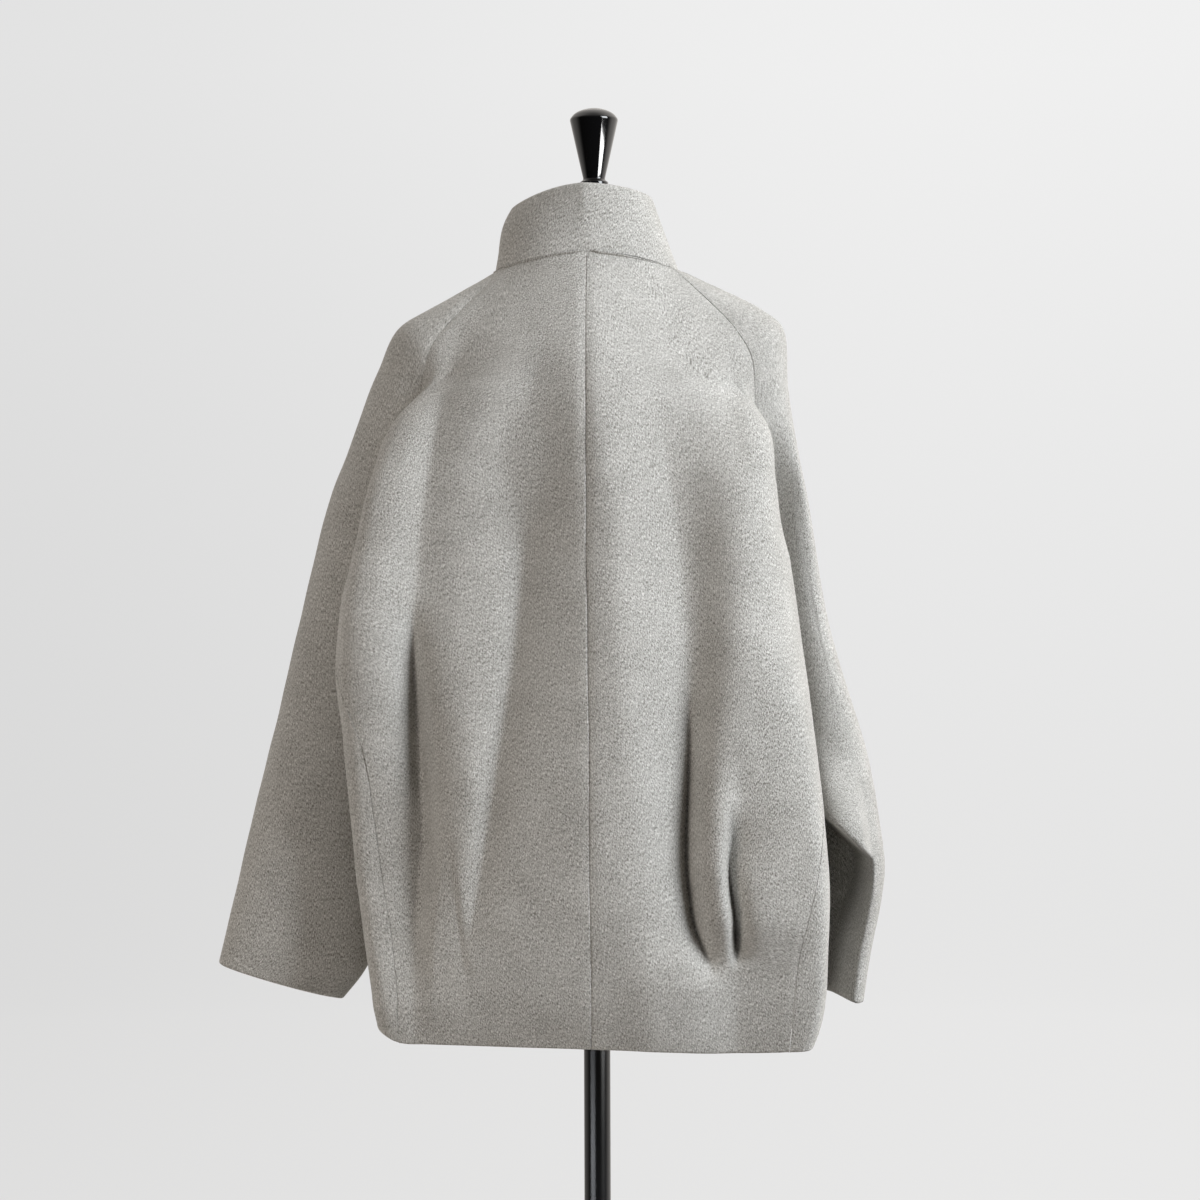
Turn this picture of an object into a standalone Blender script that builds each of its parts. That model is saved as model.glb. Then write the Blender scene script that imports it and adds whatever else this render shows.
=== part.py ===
"""Cocoon blouson of thick wool on a limbless dress form.

Metres. The back of the garment faces +Y and the wearer's left is +X.
The origin is on the floor, under the pole.
"""

import math
from collections import namedtuple

import bmesh
import bpy
import numpy as np

# Cloth
WALL = 0.0028            # thick wool, one layer
COLLAR_WALL = 0.0045     # two layers, turned at the rim
SEAM_GAP = 0.0003        # between two sewn pieces
UNDERARM_GAP = 0.0010    # more than that where four pieces meet under the arm
LAP_GAP = 0.0013         # between the two layers of the front lap
FRONT_LAP = 0.020        # each front runs this far past the centre front
LAP_RAMP = 0.030         # width over which the upper front rises onto the lower one

# Form, pole and foot
FORM_CLEAR = 0.0020      # between the cloth and the shoulders of the form
FORM_BOTTOM = 0.730
NECK_TOP = 1.440
CAP_TOP = 1.452
CAP_RADIUS = 0.043
POLE_RADIUS = 0.0125
BASE_RADIUS = 0.180
BASE_HEIGHT = 0.012
BOSS_RADIUS = 0.024
BOSS_HEIGHT = 0.040

# Neck line, an oval that drops towards the front
NECK_X, NECK_Y = 0.002, -0.004
NECK_WIDE, NECK_BACK, NECK_FRONT = 0.087, 0.066, 0.071
NECK_Z_BACK, NECK_Z_SIDE, NECK_Z_FRONT = 1.383, 1.370, 1.338
NECK_SEAM_BACK, NECK_SEAM_FRONT = 62.0, 116.0   # degrees from the centre back

# Rim of the collar, a little to the left of the neck line and lower there
RIM_X, RIM_Y = 0.011, -0.006
RIM_WIDE, RIM_BACK, RIM_FRONT = 0.0655, 0.060, 0.058
RIM_Z_BACK, RIM_Z_LEFT, RIM_Z_RIGHT, RIM_Z_FRONT = 1.449, 1.434, 1.442, 1.404
COLLAR_BULGE = 0.0085    # the left side of the collar swells out

# Grid steps, across and along: pieces that share a seam have the same steps along it
BACK_STEPS = (24, 24)
FRONT_STEPS = (15, 24)
SLEEVE_STEPS = (20, 24)
COLLAR_STEPS = (46, 3)
TORSO_RINGS, TORSO_SEGMENTS = 37, 28
CAP_STEPS, FINIAL_STEPS, POLE_STEPS, BASE_STEPS = 32, 28, 28, 40

# Rings of the body: the back half runs out to an edge and turns in to the side, the front
# half runs on to the centre front. The powers set how full an arc is, or how flat near the neck.
EDGE_AT = 0.72           # place of the edge along the back half of a ring
BACK_SPREAD, BACK_ROUND, BACK_FULL, BACK_FLAT = 0.9, 2.3, 0.44, 0.95
FRONT_ROUND, FRONT_FULL, FRONT_FLAT = 2.4, 0.46, 0.80
TURN_ENDS = 0.85         # share of the turn after which it has reached the side
TURN_SWAY = 0.25         # how strongly the turn is drawn as an S
NECK_FROM = 0.78         # place on the raglan seam where the rings start to close onto the neck line
BACK_RUN, FRONT_RUN, SLEEVE_RUN = 0.30, 0.40, 0.20   # cloth across a piece, to turn a gap into a share
HEM_DROP, HEM_DROP_X, HEM_DROP_WIDE = 0.004, -0.125, 0.070   # the hem hangs lower below the right tuck
FOLDS_LOW, FOLDS_HIGH = 0.66, 1.32   # heights between which the folds run
FRONT_LEVELS, FRONT_HALVES = (0.0, 1.0, 1.7, 2.0), (0.194, 0.170, 0.130, 0.085)

# One row for each level of the body, from the hem up to the underarm. back and front are
# the depths of the centre lines, edge is where the back is widest, side is the hollow
# beside the sleeve, seam is the place of the side seam along the half ring.
Level = namedtuple(
    "Level",
    "height middle back front edge_left edge_right edge_y side_left side_right side_y seam",
)
LEVELS = (
    Level(0.653, 0.005, 0.147, -0.134, 0.196, 0.1985, 0.050, 0.190, 0.188, 0.000, 0.52),
    Level(0.672, 0.005, 0.154, -0.140, 0.204, 0.2055, 0.053, 0.195, 0.190, 0.000, 0.52),
    Level(0.700, 0.005, 0.162, -0.146, 0.208, 0.2115, 0.055, 0.197, 0.190, 0.000, 0.53),
    Level(0.740, 0.005, 0.170, -0.151, 0.213, 0.2145, 0.058, 0.198, 0.189, 0.000, 0.54),
    Level(0.800, 0.006, 0.180, -0.156, 0.220, 0.2145, 0.060, 0.191, 0.184, 0.000, 0.56),
    Level(0.860, 0.006, 0.185, -0.158, 0.2265, 0.2100, 0.061, 0.185, 0.177, -0.004, 0.59),
    Level(0.930, 0.006, 0.185, -0.157, 0.2340, 0.2025, 0.062, 0.182, 0.169, -0.010, 0.65),
    Level(1.000, 0.007, 0.179, -0.152, 0.2405, 0.1935, 0.064, 0.180, 0.161, -0.018, 0.78),
    Level(1.055, 0.007, 0.169, -0.148, 0.2360, 0.1860, 0.067, 0.181, 0.157, -0.034, 0.90),
    Level(1.100, 0.008, 0.160, -0.145, 0.2250, 0.1790, 0.070, 0.185, 0.156, -0.046, 1.00),
)

# One row for each place along the raglan seam, 0 at the underarm and 1 at the neck. edge_out
# is how far the back panel hangs out over the seam, and edge_back how far behind it.
Rise = namedtuple(
    "Rise",
    "along back_height middle back front_height front out_left out_right edge_back flat",
)
RISES = (
    Rise(0.00, 1.100, 0.008, 0.160, 1.100, -0.145, 0.040, 0.023, 0.116, 0.0),
    Rise(0.25, 1.175, 0.008, 0.142, 1.165, -0.141, 0.034, 0.018, 0.074, 0.1),
    Rise(0.50, 1.245, 0.008, 0.121, 1.225, -0.130, 0.016, 0.009, 0.028, 0.5),
    Rise(0.655, 1.290, 0.008, 0.105, 1.262, -0.117, -0.008, -0.008, 0.006, 0.8),
    Rise(0.76, 1.322, 0.008, 0.092, 1.288, -0.105, -0.012, -0.012, 0.006, 0.9),
    Rise(0.87, 1.352, 0.008, 0.078, 1.312, -0.092, -0.012, -0.012, 0.005, 1.0),
    Rise(1.00, 1.383, 0.008, 0.062, 1.338, -0.075, -0.010, -0.010, 0.004, 1.0),
)

# One row for each section of a sleeve, from the cuff up to the neck: the outer and the inner
# end of the section seen from behind, its depths, and the angle at which it starts from its
# seam: 180 is a closed ring. along is the place on the raglan seam, below 0 on the tube.
Section = namedtuple(
    "Section", "along outer_x outer_z inner_x inner_z mid_y back front start"
)
SLEEVE_LEFT = (
    Section(-1.00, 0.360, 0.715, 0.243, 0.681, -0.020, 0.030, 0.030, 180),
    Section(-0.92, 0.352, 0.748, 0.219, 0.713, -0.023, 0.038, 0.038, 180),
    Section(-0.80, 0.340, 0.802, 0.207, 0.770, -0.028, 0.045, 0.046, 180),
    Section(-0.65, 0.326, 0.863, 0.203, 0.833, -0.034, 0.050, 0.054, 180),
    Section(-0.48, 0.309, 0.933, 0.200, 0.906, -0.044, 0.048, 0.062, 180),
    Section(-0.31, 0.293, 1.002, 0.199, 0.977, -0.050, 0.046, 0.072, 180),
    Section(-0.14, 0.276, 1.075, 0.195, 1.046, -0.052, 0.046, 0.073, 180),
    Section(0.00, 0.261, 1.135, 0.185, 1.100, -0.046, 0.050, 0.076, 180),
    Section(0.25, 0.233, 1.211, 0.174, 1.172, -0.038, 0.056, 0.074, 125),
    Section(0.50, 0.205, 1.279, 0.163, 1.245, -0.018, 0.080, 0.075, 108),
    Section(0.655, 0.183, 1.319, 0.154, 1.290, -0.003, 0.090, 0.082, 95),
    Section(0.76, 0.157, 1.3345, 0.140, 1.3135, -0.002, 0.080, 0.078, 90),
    Section(0.87, 0.128, 1.350, 0.117, 1.337, -0.004, 0.062, 0.060, 90),
    Section(1.00, 0.093, 1.370, 0.085, 1.362, -0.008, 0.038, 0.038, 90),
)
SLEEVE_RIGHT = (
    Section(-1.00, 0.256, 0.677, 0.205, 0.671, -0.052, 0.056, 0.058, 180),
    Section(-0.92, 0.262, 0.716, 0.205, 0.708, -0.050, 0.056, 0.060, 180),
    Section(-0.81, 0.271, 0.763, 0.205, 0.751, -0.047, 0.054, 0.062, 180),
    Section(-0.70, 0.2755, 0.806, 0.204, 0.792, -0.044, 0.056, 0.064, 180),
    Section(-0.60, 0.270, 0.849, 0.202, 0.833, -0.040, 0.066, 0.066, 180),
    Section(-0.45, 0.257, 0.919, 0.197, 0.901, -0.043, 0.064, 0.072, 180),
    Section(-0.28, 0.232, 1.000, 0.183, 0.984, -0.049, 0.057, 0.075, 180),
    Section(-0.12, 0.217, 1.064, 0.169, 1.046, -0.053, 0.050, 0.076, 180),
    Section(0.00, 0.207, 1.125, 0.156, 1.100, -0.046, 0.050, 0.078, 180),
    Section(0.25, 0.193, 1.195, 0.153, 1.165, -0.037, 0.056, 0.075, 125),
    Section(0.50, 0.1825, 1.262, 0.149, 1.235, -0.016, 0.080, 0.076, 108),
    Section(0.655, 0.178, 1.317, 0.146, 1.285, -0.003, 0.089, 0.082, 95),
    Section(0.76, 0.157, 1.3345, 0.134, 1.308, -0.002, 0.080, 0.078, 90),
    Section(0.87, 0.128, 1.350, 0.114, 1.334, -0.004, 0.062, 0.060, 90),
    Section(1.00, 0.093, 1.370, 0.085, 1.362, -0.008, 0.038, 0.038, 90),
)

# One row for each valley of the body. x and depth are given at the five heights below,
# wide_in is its half width towards the centre line and wide_out away from it.
FOLD_HEIGHTS = (0.735, 0.830, 0.960, 1.100, 1.225)
Fold = namedtuple("Fold", "x depth wide_in wide_out")
BACK_FOLDS_LEFT = (
    Fold((0.150, 0.166, 0.165, 0.143, 0.122), (0.006, 0.026, 0.026, 0.016, 0.005), 0.028, 0.038),
    Fold((0.121, 0.103, 0.086, 0.067, 0.042), (0.010, 0.017, 0.018, 0.013, 0.006), 0.050, 0.034),
)
BACK_FOLDS_RIGHT = (
    Fold((0.106, 0.084, 0.081, 0.086, 0.058), (0.012, 0.026, 0.026, 0.019, 0.005), 0.052, 0.026),
    Fold((0.130, 0.127, 0.124, 0.120, 0.118), (0.012, 0.017, 0.000, 0.000, 0.000), 0.010, 0.012),
)
FOLD_COLUMNS_LEFT, FOLD_COLUMNS_RIGHT = (7 / 24, 12 / 24), (7 / 24, 11 / 24)
FRONT_FOLDS = (
    Fold((0.120, 0.118, 0.112, 0.100, 0.090), (0.004, 0.016, 0.018, 0.012, 0.000), 0.036, 0.034),
    Fold((0.062, 0.058, 0.052, 0.050, 0.045), (0.003, 0.010, 0.012, 0.008, 0.000), 0.032, 0.032),
)

# Elbow of the right sleeve: the upper sleeve hangs over the forearm in one sharp fold, and the
# back of the forearm is hollow beside the body, with a ridge near its outside.
ELBOW_INNER_Z, ELBOW_OUTER_Z = 0.866, 0.822
ELBOW_OUT, ELBOW_SHARP, ELBOW_REACH = 0.020, 0.012, 0.090
RIDGE_AT, HOLLOW_POWER = 0.72, 1.5

# One row for each level of the form. half is its half width, back and front its depths.
Girth = namedtuple("Girth", "height half back front")
TORSO_SQUARE = 0.92      # power that makes its rings a little fuller than ellipses
TORSO = (
    Girth(0.730, 0.150, 0.104, -0.088),
    Girth(0.742, 0.157, 0.111, -0.094),
    Girth(0.800, 0.164, 0.121, -0.100),
    Girth(0.870, 0.160, 0.118, -0.101),
    Girth(0.940, 0.137, 0.097, -0.096),
    Girth(1.000, 0.120, 0.083, -0.092),
    Girth(1.060, 0.128, 0.090, -0.104),
    Girth(1.130, 0.142, 0.103, -0.118),
    Girth(1.200, 0.146, 0.108, -0.113),
    Girth(1.255, 0.156, 0.099, -0.094),
    Girth(1.290, 0.167, 0.080, -0.072),
)
# Heights of the form above that, where it follows the shoulder line of the cloth, with depths.
SHOULDERS = (
    Girth(1.312, 0.168, 0.066, -0.060),
    Girth(1.326, None, 0.058, -0.055),
    Girth(1.340, None, 0.052, -0.052),
    Girth(1.353, None, 0.049, -0.050),
)
NECK = (
    Girth(1.366, 0.071, 0.047, -0.049),
    Girth(1.379, 0.054, 0.045, -0.047),
    Girth(1.400, 0.047, 0.043, -0.045),
    Girth(NECK_TOP - 0.003, 0.0435, 0.042, -0.0435),
    Girth(NECK_TOP, 0.0405, 0.039, -0.0405),
)

# Turned pieces, each from the top of its outer side down, one row for each corner.
Turn = namedtuple("Turn", "radius height")
CAP_FOOT = NECK_TOP + SEAM_GAP
NECK_CAP = (
    Turn(0.000, CAP_TOP),
    Turn(CAP_RADIUS - 0.006, CAP_TOP),
    Turn(CAP_RADIUS - 0.001, CAP_TOP - 0.004),
    Turn(CAP_RADIUS, CAP_TOP - 0.008),
    Turn(CAP_RADIUS - 0.002, CAP_FOOT),
    Turn(0.000, CAP_FOOT),
)
FINIAL_FOOT = CAP_TOP + SEAM_GAP
FINIAL = (
    Turn(0.0000, FINIAL_FOOT + 0.0735),
    Turn(0.0080, FINIAL_FOOT + 0.0728),
    Turn(0.0150, FINIAL_FOOT + 0.0705),
    Turn(0.0205, FINIAL_FOOT + 0.0660),
    Turn(0.0228, FINIAL_FOOT + 0.0620),
    Turn(0.0218, FINIAL_FOOT + 0.0595),
    Turn(0.0140, FINIAL_FOOT + 0.0225),
    Turn(0.0102, FINIAL_FOOT + 0.0060),
    Turn(0.0122, FINIAL_FOOT + 0.0035),
    Turn(0.0134, FINIAL_FOOT + 0.0020),
    Turn(0.0134, FINIAL_FOOT),
    Turn(0.0000, FINIAL_FOOT),
)
BOSS_TOP = BASE_HEIGHT + BOSS_HEIGHT
POLE = (
    Turn(0.000, FORM_BOTTOM - SEAM_GAP),
    Turn(POLE_RADIUS, FORM_BOTTOM - SEAM_GAP),
    Turn(POLE_RADIUS, BOSS_TOP + SEAM_GAP),
    Turn(0.000, BOSS_TOP + SEAM_GAP),
)
BASE_PLATE = (
    Turn(0.000, BOSS_TOP),
    Turn(BOSS_RADIUS - 0.003, BOSS_TOP),
    Turn(BOSS_RADIUS, BOSS_TOP - 0.003),
    Turn(BOSS_RADIUS, BASE_HEIGHT),
    Turn(BASE_RADIUS - 0.004, BASE_HEIGHT),
    Turn(BASE_RADIUS, BASE_HEIGHT - 0.004),
    Turn(BASE_RADIUS, 0.000),
    Turn(0.000, 0.000),
)

COLOURS = {
    "wool": (0.52, 0.50, 0.47, 1.0),
    "linen": (0.55, 0.49, 0.40, 1.0),
    "black_lacquer": (0.012, 0.012, 0.013, 1.0),
    "black_steel": (0.02, 0.02, 0.022, 1.0),
}


def ease(x):
    x = np.clip(x, 0.0, 1.0)
    return x * x * (3.0 - 2.0 * x)


def column(rows, name):
    return np.array([getattr(row, name) for row in rows], float)


def through(x, knots, values):
    """Smooth curve through the values at the knots."""
    knots = np.asarray(knots, float)
    values = np.asarray(values, float)
    slopes = np.gradient(values, knots)
    x = np.clip(x, knots[0], knots[-1])
    i = np.clip(np.searchsorted(knots, x, side="right") - 1, 0, len(knots) - 2)
    span = knots[i + 1] - knots[i]
    t = (x - knots[i]) / span
    return (
        (2 * t**3 - 3 * t**2 + 1) * values[i]
        + (t**3 - 2 * t**2 + t) * span * slopes[i]
        + (3 * t**2 - 2 * t**3) * values[i + 1]
        + (t**3 - t**2) * span * slopes[i + 1]
    )


def mix(a, b, share):
    return a + (b - a) * share


def neck_line(degrees):
    """A point of the neck line, by its angle from the centre back towards the left."""
    a = np.radians(degrees)
    back = np.cos(a) > 0
    y = NECK_Y + np.cos(a) * np.where(back, NECK_BACK, NECK_FRONT)
    drop = np.where(back, NECK_Z_BACK, NECK_Z_FRONT) - NECK_Z_SIDE
    return NECK_X + NECK_WIDE * np.sin(a), y, NECK_Z_SIDE + drop * np.cos(a) ** 2


def elbow_fold(turn, height, out, cell):
    """Back of the right sleeve: it stands out above the fold at its elbow and is hollow below it."""
    line = mix(ELBOW_INNER_Z, ELBOW_OUTER_Z, out)
    below = ease((line - height) / ELBOW_SHARP + 0.5)
    above = 1.0 - ease((height - line) / ELBOW_REACH)
    full = (cell["back"] + ELBOW_OUT * above) * np.sin(turn)
    up_to_ridge = np.clip(out / RIDGE_AT, 0.0, 1.0) ** HOLLOW_POWER
    past_ridge = np.clip((out - RIDGE_AT) / (1.0 - RIDGE_AT), 0.0, 1.0)
    hollow = cell["back"] * up_to_ridge * np.sqrt(1.0 - past_ridge**2)
    return cell["mid_y"] + mix(full, hollow, below)


def sleeve_point(side, around, along):
    """A point of a sleeve: around 0 is the back seam, 0.5 the outside, 1 the front seam."""
    rows = SLEEVE_LEFT if side > 0 else SLEEVE_RIGHT
    at = column(rows, "along")
    cell = {name: through(along, at, column(rows, name)) for name in Section._fields[1:]}
    start = np.radians(np.where(along <= 0.0, 180.0, cell["start"]))
    turn = start * (1.0 - 2.0 * around)
    middle = -np.cos(start) / (1.0 - np.cos(start))
    out = middle + (1.0 - middle) * np.cos(turn)
    depth = np.where(turn > 0, cell["back"], cell["front"])
    x = side * mix(cell["inner_x"], cell["outer_x"], out)
    z = mix(cell["inner_z"], cell["outer_z"], out)
    y = cell["mid_y"] + depth * np.sin(turn)
    if side < 0:
        lower_back = (turn > 0) & (along < 0.0)
        y = np.where(lower_back, elbow_fold(turn, z, out, cell), y)
    onto = ease((along - NECK_FROM) / (1.0 - NECK_FROM))
    to = neck_line(side * mix(NECK_SEAM_BACK, NECK_SEAM_FRONT, around))
    return mix(x, to[0], onto), mix(y, to[1], onto), mix(z, to[2], onto)


def lower_point(side, tau, height):
    """A point of the half ring below the underarm. tau 0 is the centre back, 1 the side, 2 the front."""
    at = column(LEVELS, "height")
    cell = {name: through(height, at, column(LEVELS, name)) for name in Level._fields[1:]}
    edge = cell["edge_left"] if side > 0 else cell["edge_right"]
    flank = cell["side_left"] if side > 0 else cell["side_right"]
    return half_ring(
        side, tau, (cell["middle"], cell["back"], height), (edge, cell["edge_y"]),
        (flank, cell["side_y"], height), (flank, cell["side_y"], height),
        (cell["front"], height), 0.0,
    )


def upper_point(side, tau, along):
    """A point of the half ring above the underarm, cut off by the raglan seams."""
    at = column(RISES, "along")
    cell = {name: through(along, at, column(RISES, name)) for name in Rise._fields[1:]}
    out = cell["out_left"] if side > 0 else cell["out_right"]
    back_seam = sleeve_point(side, np.zeros_like(along), along)
    front_seam = sleeve_point(side, np.ones_like(along), along)
    back_seam = (side * back_seam[0], back_seam[1], back_seam[2])
    front_seam = (side * front_seam[0], front_seam[1], front_seam[2])
    x, y, z = half_ring(
        side, tau, (cell["middle"], cell["back"], cell["back_height"]),
        (back_seam[0] + out, back_seam[1] + cell["edge_back"]), back_seam, front_seam,
        (cell["front"], cell["front_height"]), cell["flat"],
    )
    onto = ease((along - NECK_FROM) / (1.0 - NECK_FROM))
    behind = NECK_SEAM_BACK * np.clip(tau, 0, 1)
    before = mix(NECK_SEAM_FRONT, 180.0, np.clip(tau - 1, 0, 2))
    to = neck_line(side * np.where(tau <= 1, behind, before))
    return mix(x, to[0], onto), mix(y, to[1], onto), mix(z, to[2], onto)


def half_ring(side, tau, centre, edge, back_end, front_end, front, flat):
    """Back arc out to the edge, a turn in to the seam, then the front arc to the centre front."""
    a = np.clip(tau / EDGE_AT, 0.0, 1.0) * math.pi / 2
    wide = np.sin(a) ** BACK_SPREAD
    round_back = np.clip(1.0 - wide**BACK_ROUND, 0.0, 1.0) ** mix(BACK_FULL, BACK_FLAT, flat)
    back_x = mix(side * centre[0], edge[0], wide)
    back_y = mix(edge[1], centre[1], round_back)
    back_z = mix(centre[2], back_end[2], wide**2)

    b = np.clip((tau - EDGE_AT) / (1.0 - EDGE_AT), 0.0, 1.0)
    swayed = b + TURN_SWAY * np.sin(2 * math.pi * b) / math.pi
    turn_x = mix(edge[0], back_end[0], mix(ease(b / TURN_ENDS), b, flat))
    turn_y = mix(edge[1], back_end[1], mix(swayed, b, flat))

    c = np.clip(tau - 1.0, 0.0, 1.2) * math.pi / 2
    narrow = np.cos(c)
    bulge = np.clip(1.0 - np.abs(narrow) ** FRONT_ROUND, 0.0, 1.0) ** mix(FRONT_FULL, FRONT_FLAT, flat)
    front_x = front_end[0] * narrow
    front_y = mix(front_end[1], front[0], bulge)
    front_z = mix(front[1], front_end[2], narrow**2)

    behind = tau <= EDGE_AT
    turning = (tau > EDGE_AT) & (tau <= 1.0)
    x = np.where(behind, back_x, np.where(turning, turn_x, front_x))
    y = np.where(behind, back_y, np.where(turning, turn_y, front_y))
    z = np.where(behind, back_z, np.where(turning, back_end[2], front_z))
    return side * x, y, z


HEM_Z, UNDERARM_Z = LEVELS[0].height, LEVELS[-1].height


def smooth_body(side, tau, level):
    """level 0 is the hem, 1 the underarm, 2 the neck."""
    height = mix(HEM_Z, UNDERARM_Z, np.clip(level, 0.0, 1.0))
    low = lower_point(side, tau, height)
    high = upper_point(side, tau, np.clip(level - 1.0, 0.0, 1.0))
    return [np.where(level <= 1.0, a, b) for a, b in zip(low, high)]


def fold_depth(folds, across, height):
    """Depth of all valleys at a distance across from the centre line."""
    depth = np.zeros_like(across)
    for fold in folds:
        off = across - through(height, FOLD_HEIGHTS, fold.x)
        wide = np.where(off > 0, fold.wide_out, fold.wide_in)
        here = through(height, FOLD_HEIGHTS, fold.depth)
        fade = ease((height - FOLDS_LOW) / 0.06) * ease((FOLDS_HIGH - height) / 0.10)
        depth += np.maximum(here, 0.0) * fade * np.exp(-np.abs(off / wide) ** 1.5)
    return depth


def body_point(side, tau, level):
    """A point of the body with its folds pressed in along the level normal."""
    x, y, z = smooth_body(side, tau, level)
    step = 0.004
    x0, y0, _ = smooth_body(side, tau - step, level)
    x1, y1, _ = smooth_body(side, tau + step, level)
    run = np.hypot(x1 - x0, y1 - y0) + 1e-9
    inward_x, inward_y = side * (y1 - y0) / run, -side * (x1 - x0) / run
    back_folds = BACK_FOLDS_LEFT if side > 0 else BACK_FOLDS_RIGHT
    behind = ease((EDGE_AT + 0.10 - tau) / 0.15)
    before = ease((tau - 1.05) / 0.15)
    deep = fold_depth(back_folds, np.abs(x), z) * behind
    deep = deep + fold_depth(FRONT_FOLDS, np.abs(x), z) * before
    drop = HEM_DROP * np.exp(-((x - HEM_DROP_X) / HEM_DROP_WIDE) ** 2)
    drop = drop * ease((HEM_Z + 0.10 - z) / 0.10) * ease(y / 0.05)
    return x + inward_x * deep, y + inward_y * deep, z - drop


def seam_place(level):
    """tau of the side seam, at the underarm from there on."""
    height = mix(HEM_Z, UNDERARM_Z, np.clip(level, 0.0, 1.0))
    low = through(height, column(LEVELS, "height"), column(LEVELS, "seam"))
    return np.where(level < 1.0, low, 1.0)


def fold_place(fold, side, level):
    """tau of the bottom of a valley."""
    height = mix(HEM_Z, UNDERARM_Z, np.clip(level, 0.0, 1.0))
    high = through(np.clip(level - 1.0, 0.0, 1.0), column(RISES, "along"), column(RISES, "back_height"))
    height = np.where(level <= 1.0, height, high)
    x, _, _ = smooth_body(side, np.full_like(level, EDGE_AT), level)
    middle, _, _ = smooth_body(side, np.zeros_like(level), level)
    wide = (side * through(height, FOLD_HEIGHTS, fold.x) - middle) / (x - middle)
    return EDGE_AT * np.arcsin(np.clip(wide, 0.05, 0.97) ** (1 / BACK_SPREAD)) / (math.pi / 2)


def back_columns(side, across, level, end):
    """tau for a column of the grid: some columns run along the bottoms of the valleys."""
    inner, outer = FOLD_COLUMNS_LEFT if side > 0 else FOLD_COLUMNS_RIGHT
    folds = BACK_FOLDS_LEFT[::-1] if side > 0 else BACK_FOLDS_RIGHT
    level_out = ease((level - 1.40) / 0.40)
    near = mix(fold_place(folds[0], side, level), inner * end, level_out)
    far = mix(fold_place(folds[1], side, level), outer * end, level_out)
    return np.where(
        across < inner, near * across / inner,
        np.where(
            across < outer, mix(near, far, (across - inner) / (outer - inner)),
            mix(far, end, (across - outer) / (1.0 - outer)),
        ),
    )


def body_level(up):
    """Rows of the grid, closer together at the hem and under the arm."""
    low = np.minimum(up * 2.0, 1.0)
    return low - 0.05 * np.sin(2.0 * math.pi * low) + np.maximum(up * 2.0 - 1.0, 0.0)


def underarm_gap(level):
    return UNDERARM_GAP * ease(1.0 - np.abs(level - 1.0) / 0.3)


def back_panel(side, across, up):
    level = body_level(up)
    trim = SEAM_GAP / BACK_RUN
    tau = back_columns(side, across, level, (1.0 - trim) * seam_place(level))
    x, y, z = body_point(side, tau, level)
    x = x + side * SEAM_GAP * (1.0 - 2.4 * across)
    return x - side * underarm_gap(level) * ease((across - 0.6) / 0.3), y, z


def front_panel(side, across, up):
    level = body_level(up)
    trim = SEAM_GAP / FRONT_RUN
    start = seam_place(level) + trim * mix(1.0, 5.0, underarm_gap(level) / UNDERARM_GAP)
    half = through(level, FRONT_LEVELS, FRONT_HALVES)
    lap = np.arcsin(FRONT_LAP / half) / (math.pi / 2)
    tau = mix(start, 2.0 + lap, mix(across, ease(across), 0.6))
    x, y, z = body_point(side, tau, level)
    x = x + side * SEAM_GAP * np.clip((1.0 - level) / 0.1, -1.0, 1.0) * (1.0 - across) ** 3
    x = x - side * underarm_gap(level) * (1.0 - across) ** 3
    if side < 0:
        rise = ease((x + 1.4 * FRONT_LAP + LAP_RAMP) / LAP_RAMP)
        y = y - rise * (WALL + LAP_GAP)
    return x, y, z


def sleeve_tube(side, around, up):
    along = mix(-1.0, 1.0, up)
    trim = np.where(along > 0.0, SEAM_GAP / SLEEVE_RUN, 0.0) * np.minimum(along / 0.02, 1.0)
    return sleeve_point(side, mix(trim, 1.0 - trim, around), along)


def collar_ring(around, up):
    """The collar from its left end round the back to its right end, which laps over."""
    past = math.degrees(FRONT_LAP / NECK_FRONT)
    degrees = mix(180.0 + past, -180.0 - past, around)
    low = neck_line(degrees)
    a = np.radians(degrees)
    left, back = np.sin(a) > 0, np.cos(a) > 0
    rim_side = np.where(left, RIM_Z_LEFT, RIM_Z_RIGHT)
    rim_end = np.where(back, RIM_Z_BACK, RIM_Z_FRONT)
    rim_x = RIM_X + RIM_WIDE * np.sin(a)
    rim_y = RIM_Y + np.cos(a) * np.where(back, RIM_BACK, RIM_FRONT)
    rim_z = mix(rim_side, rim_end, np.cos(a) ** 2)
    swell = np.where(left, COLLAR_BULGE, 0.0) * np.abs(np.sin(a)) ** 1.5
    swell = swell * np.sin(math.pi * up ** 0.8)
    lapped = ease((-degrees - 180.0 + 2.4 * past) / past)
    x = mix(low[0], rim_x, up) + swell * np.sin(a)
    y = mix(low[1], rim_y, up) + swell * np.cos(a) - lapped * (COLLAR_WALL + LAP_GAP)
    return x, y, mix(low[2] + 2 * SEAM_GAP, rim_z, up)


def shoulder_half(height):
    """Half width of the form at a height, one wall and one clearance inside the shoulder line."""
    rows = [row for row in SLEEVE_LEFT if row.along >= 0.5]
    x, z = column(rows, "outer_x"), column(rows, "outer_z")
    slope = np.gradient(z, x)
    inside = (WALL + FORM_CLEAR) / np.sqrt(1.0 + slope**2)
    x, z = x + slope * inside, z - inside
    return float(np.interp(height, z, x))


def girths():
    rows = list(TORSO)
    for row in SHOULDERS:
        rows.append(row._replace(half=row.half or shoulder_half(row.height)))
    return rows + list(NECK)


def clear_scene():
    for obj in list(bpy.data.objects):
        bpy.data.objects.remove(obj)


def collection(name):
    group = bpy.data.collections.new(name)
    bpy.context.scene.collection.children.link(group)
    return group


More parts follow.
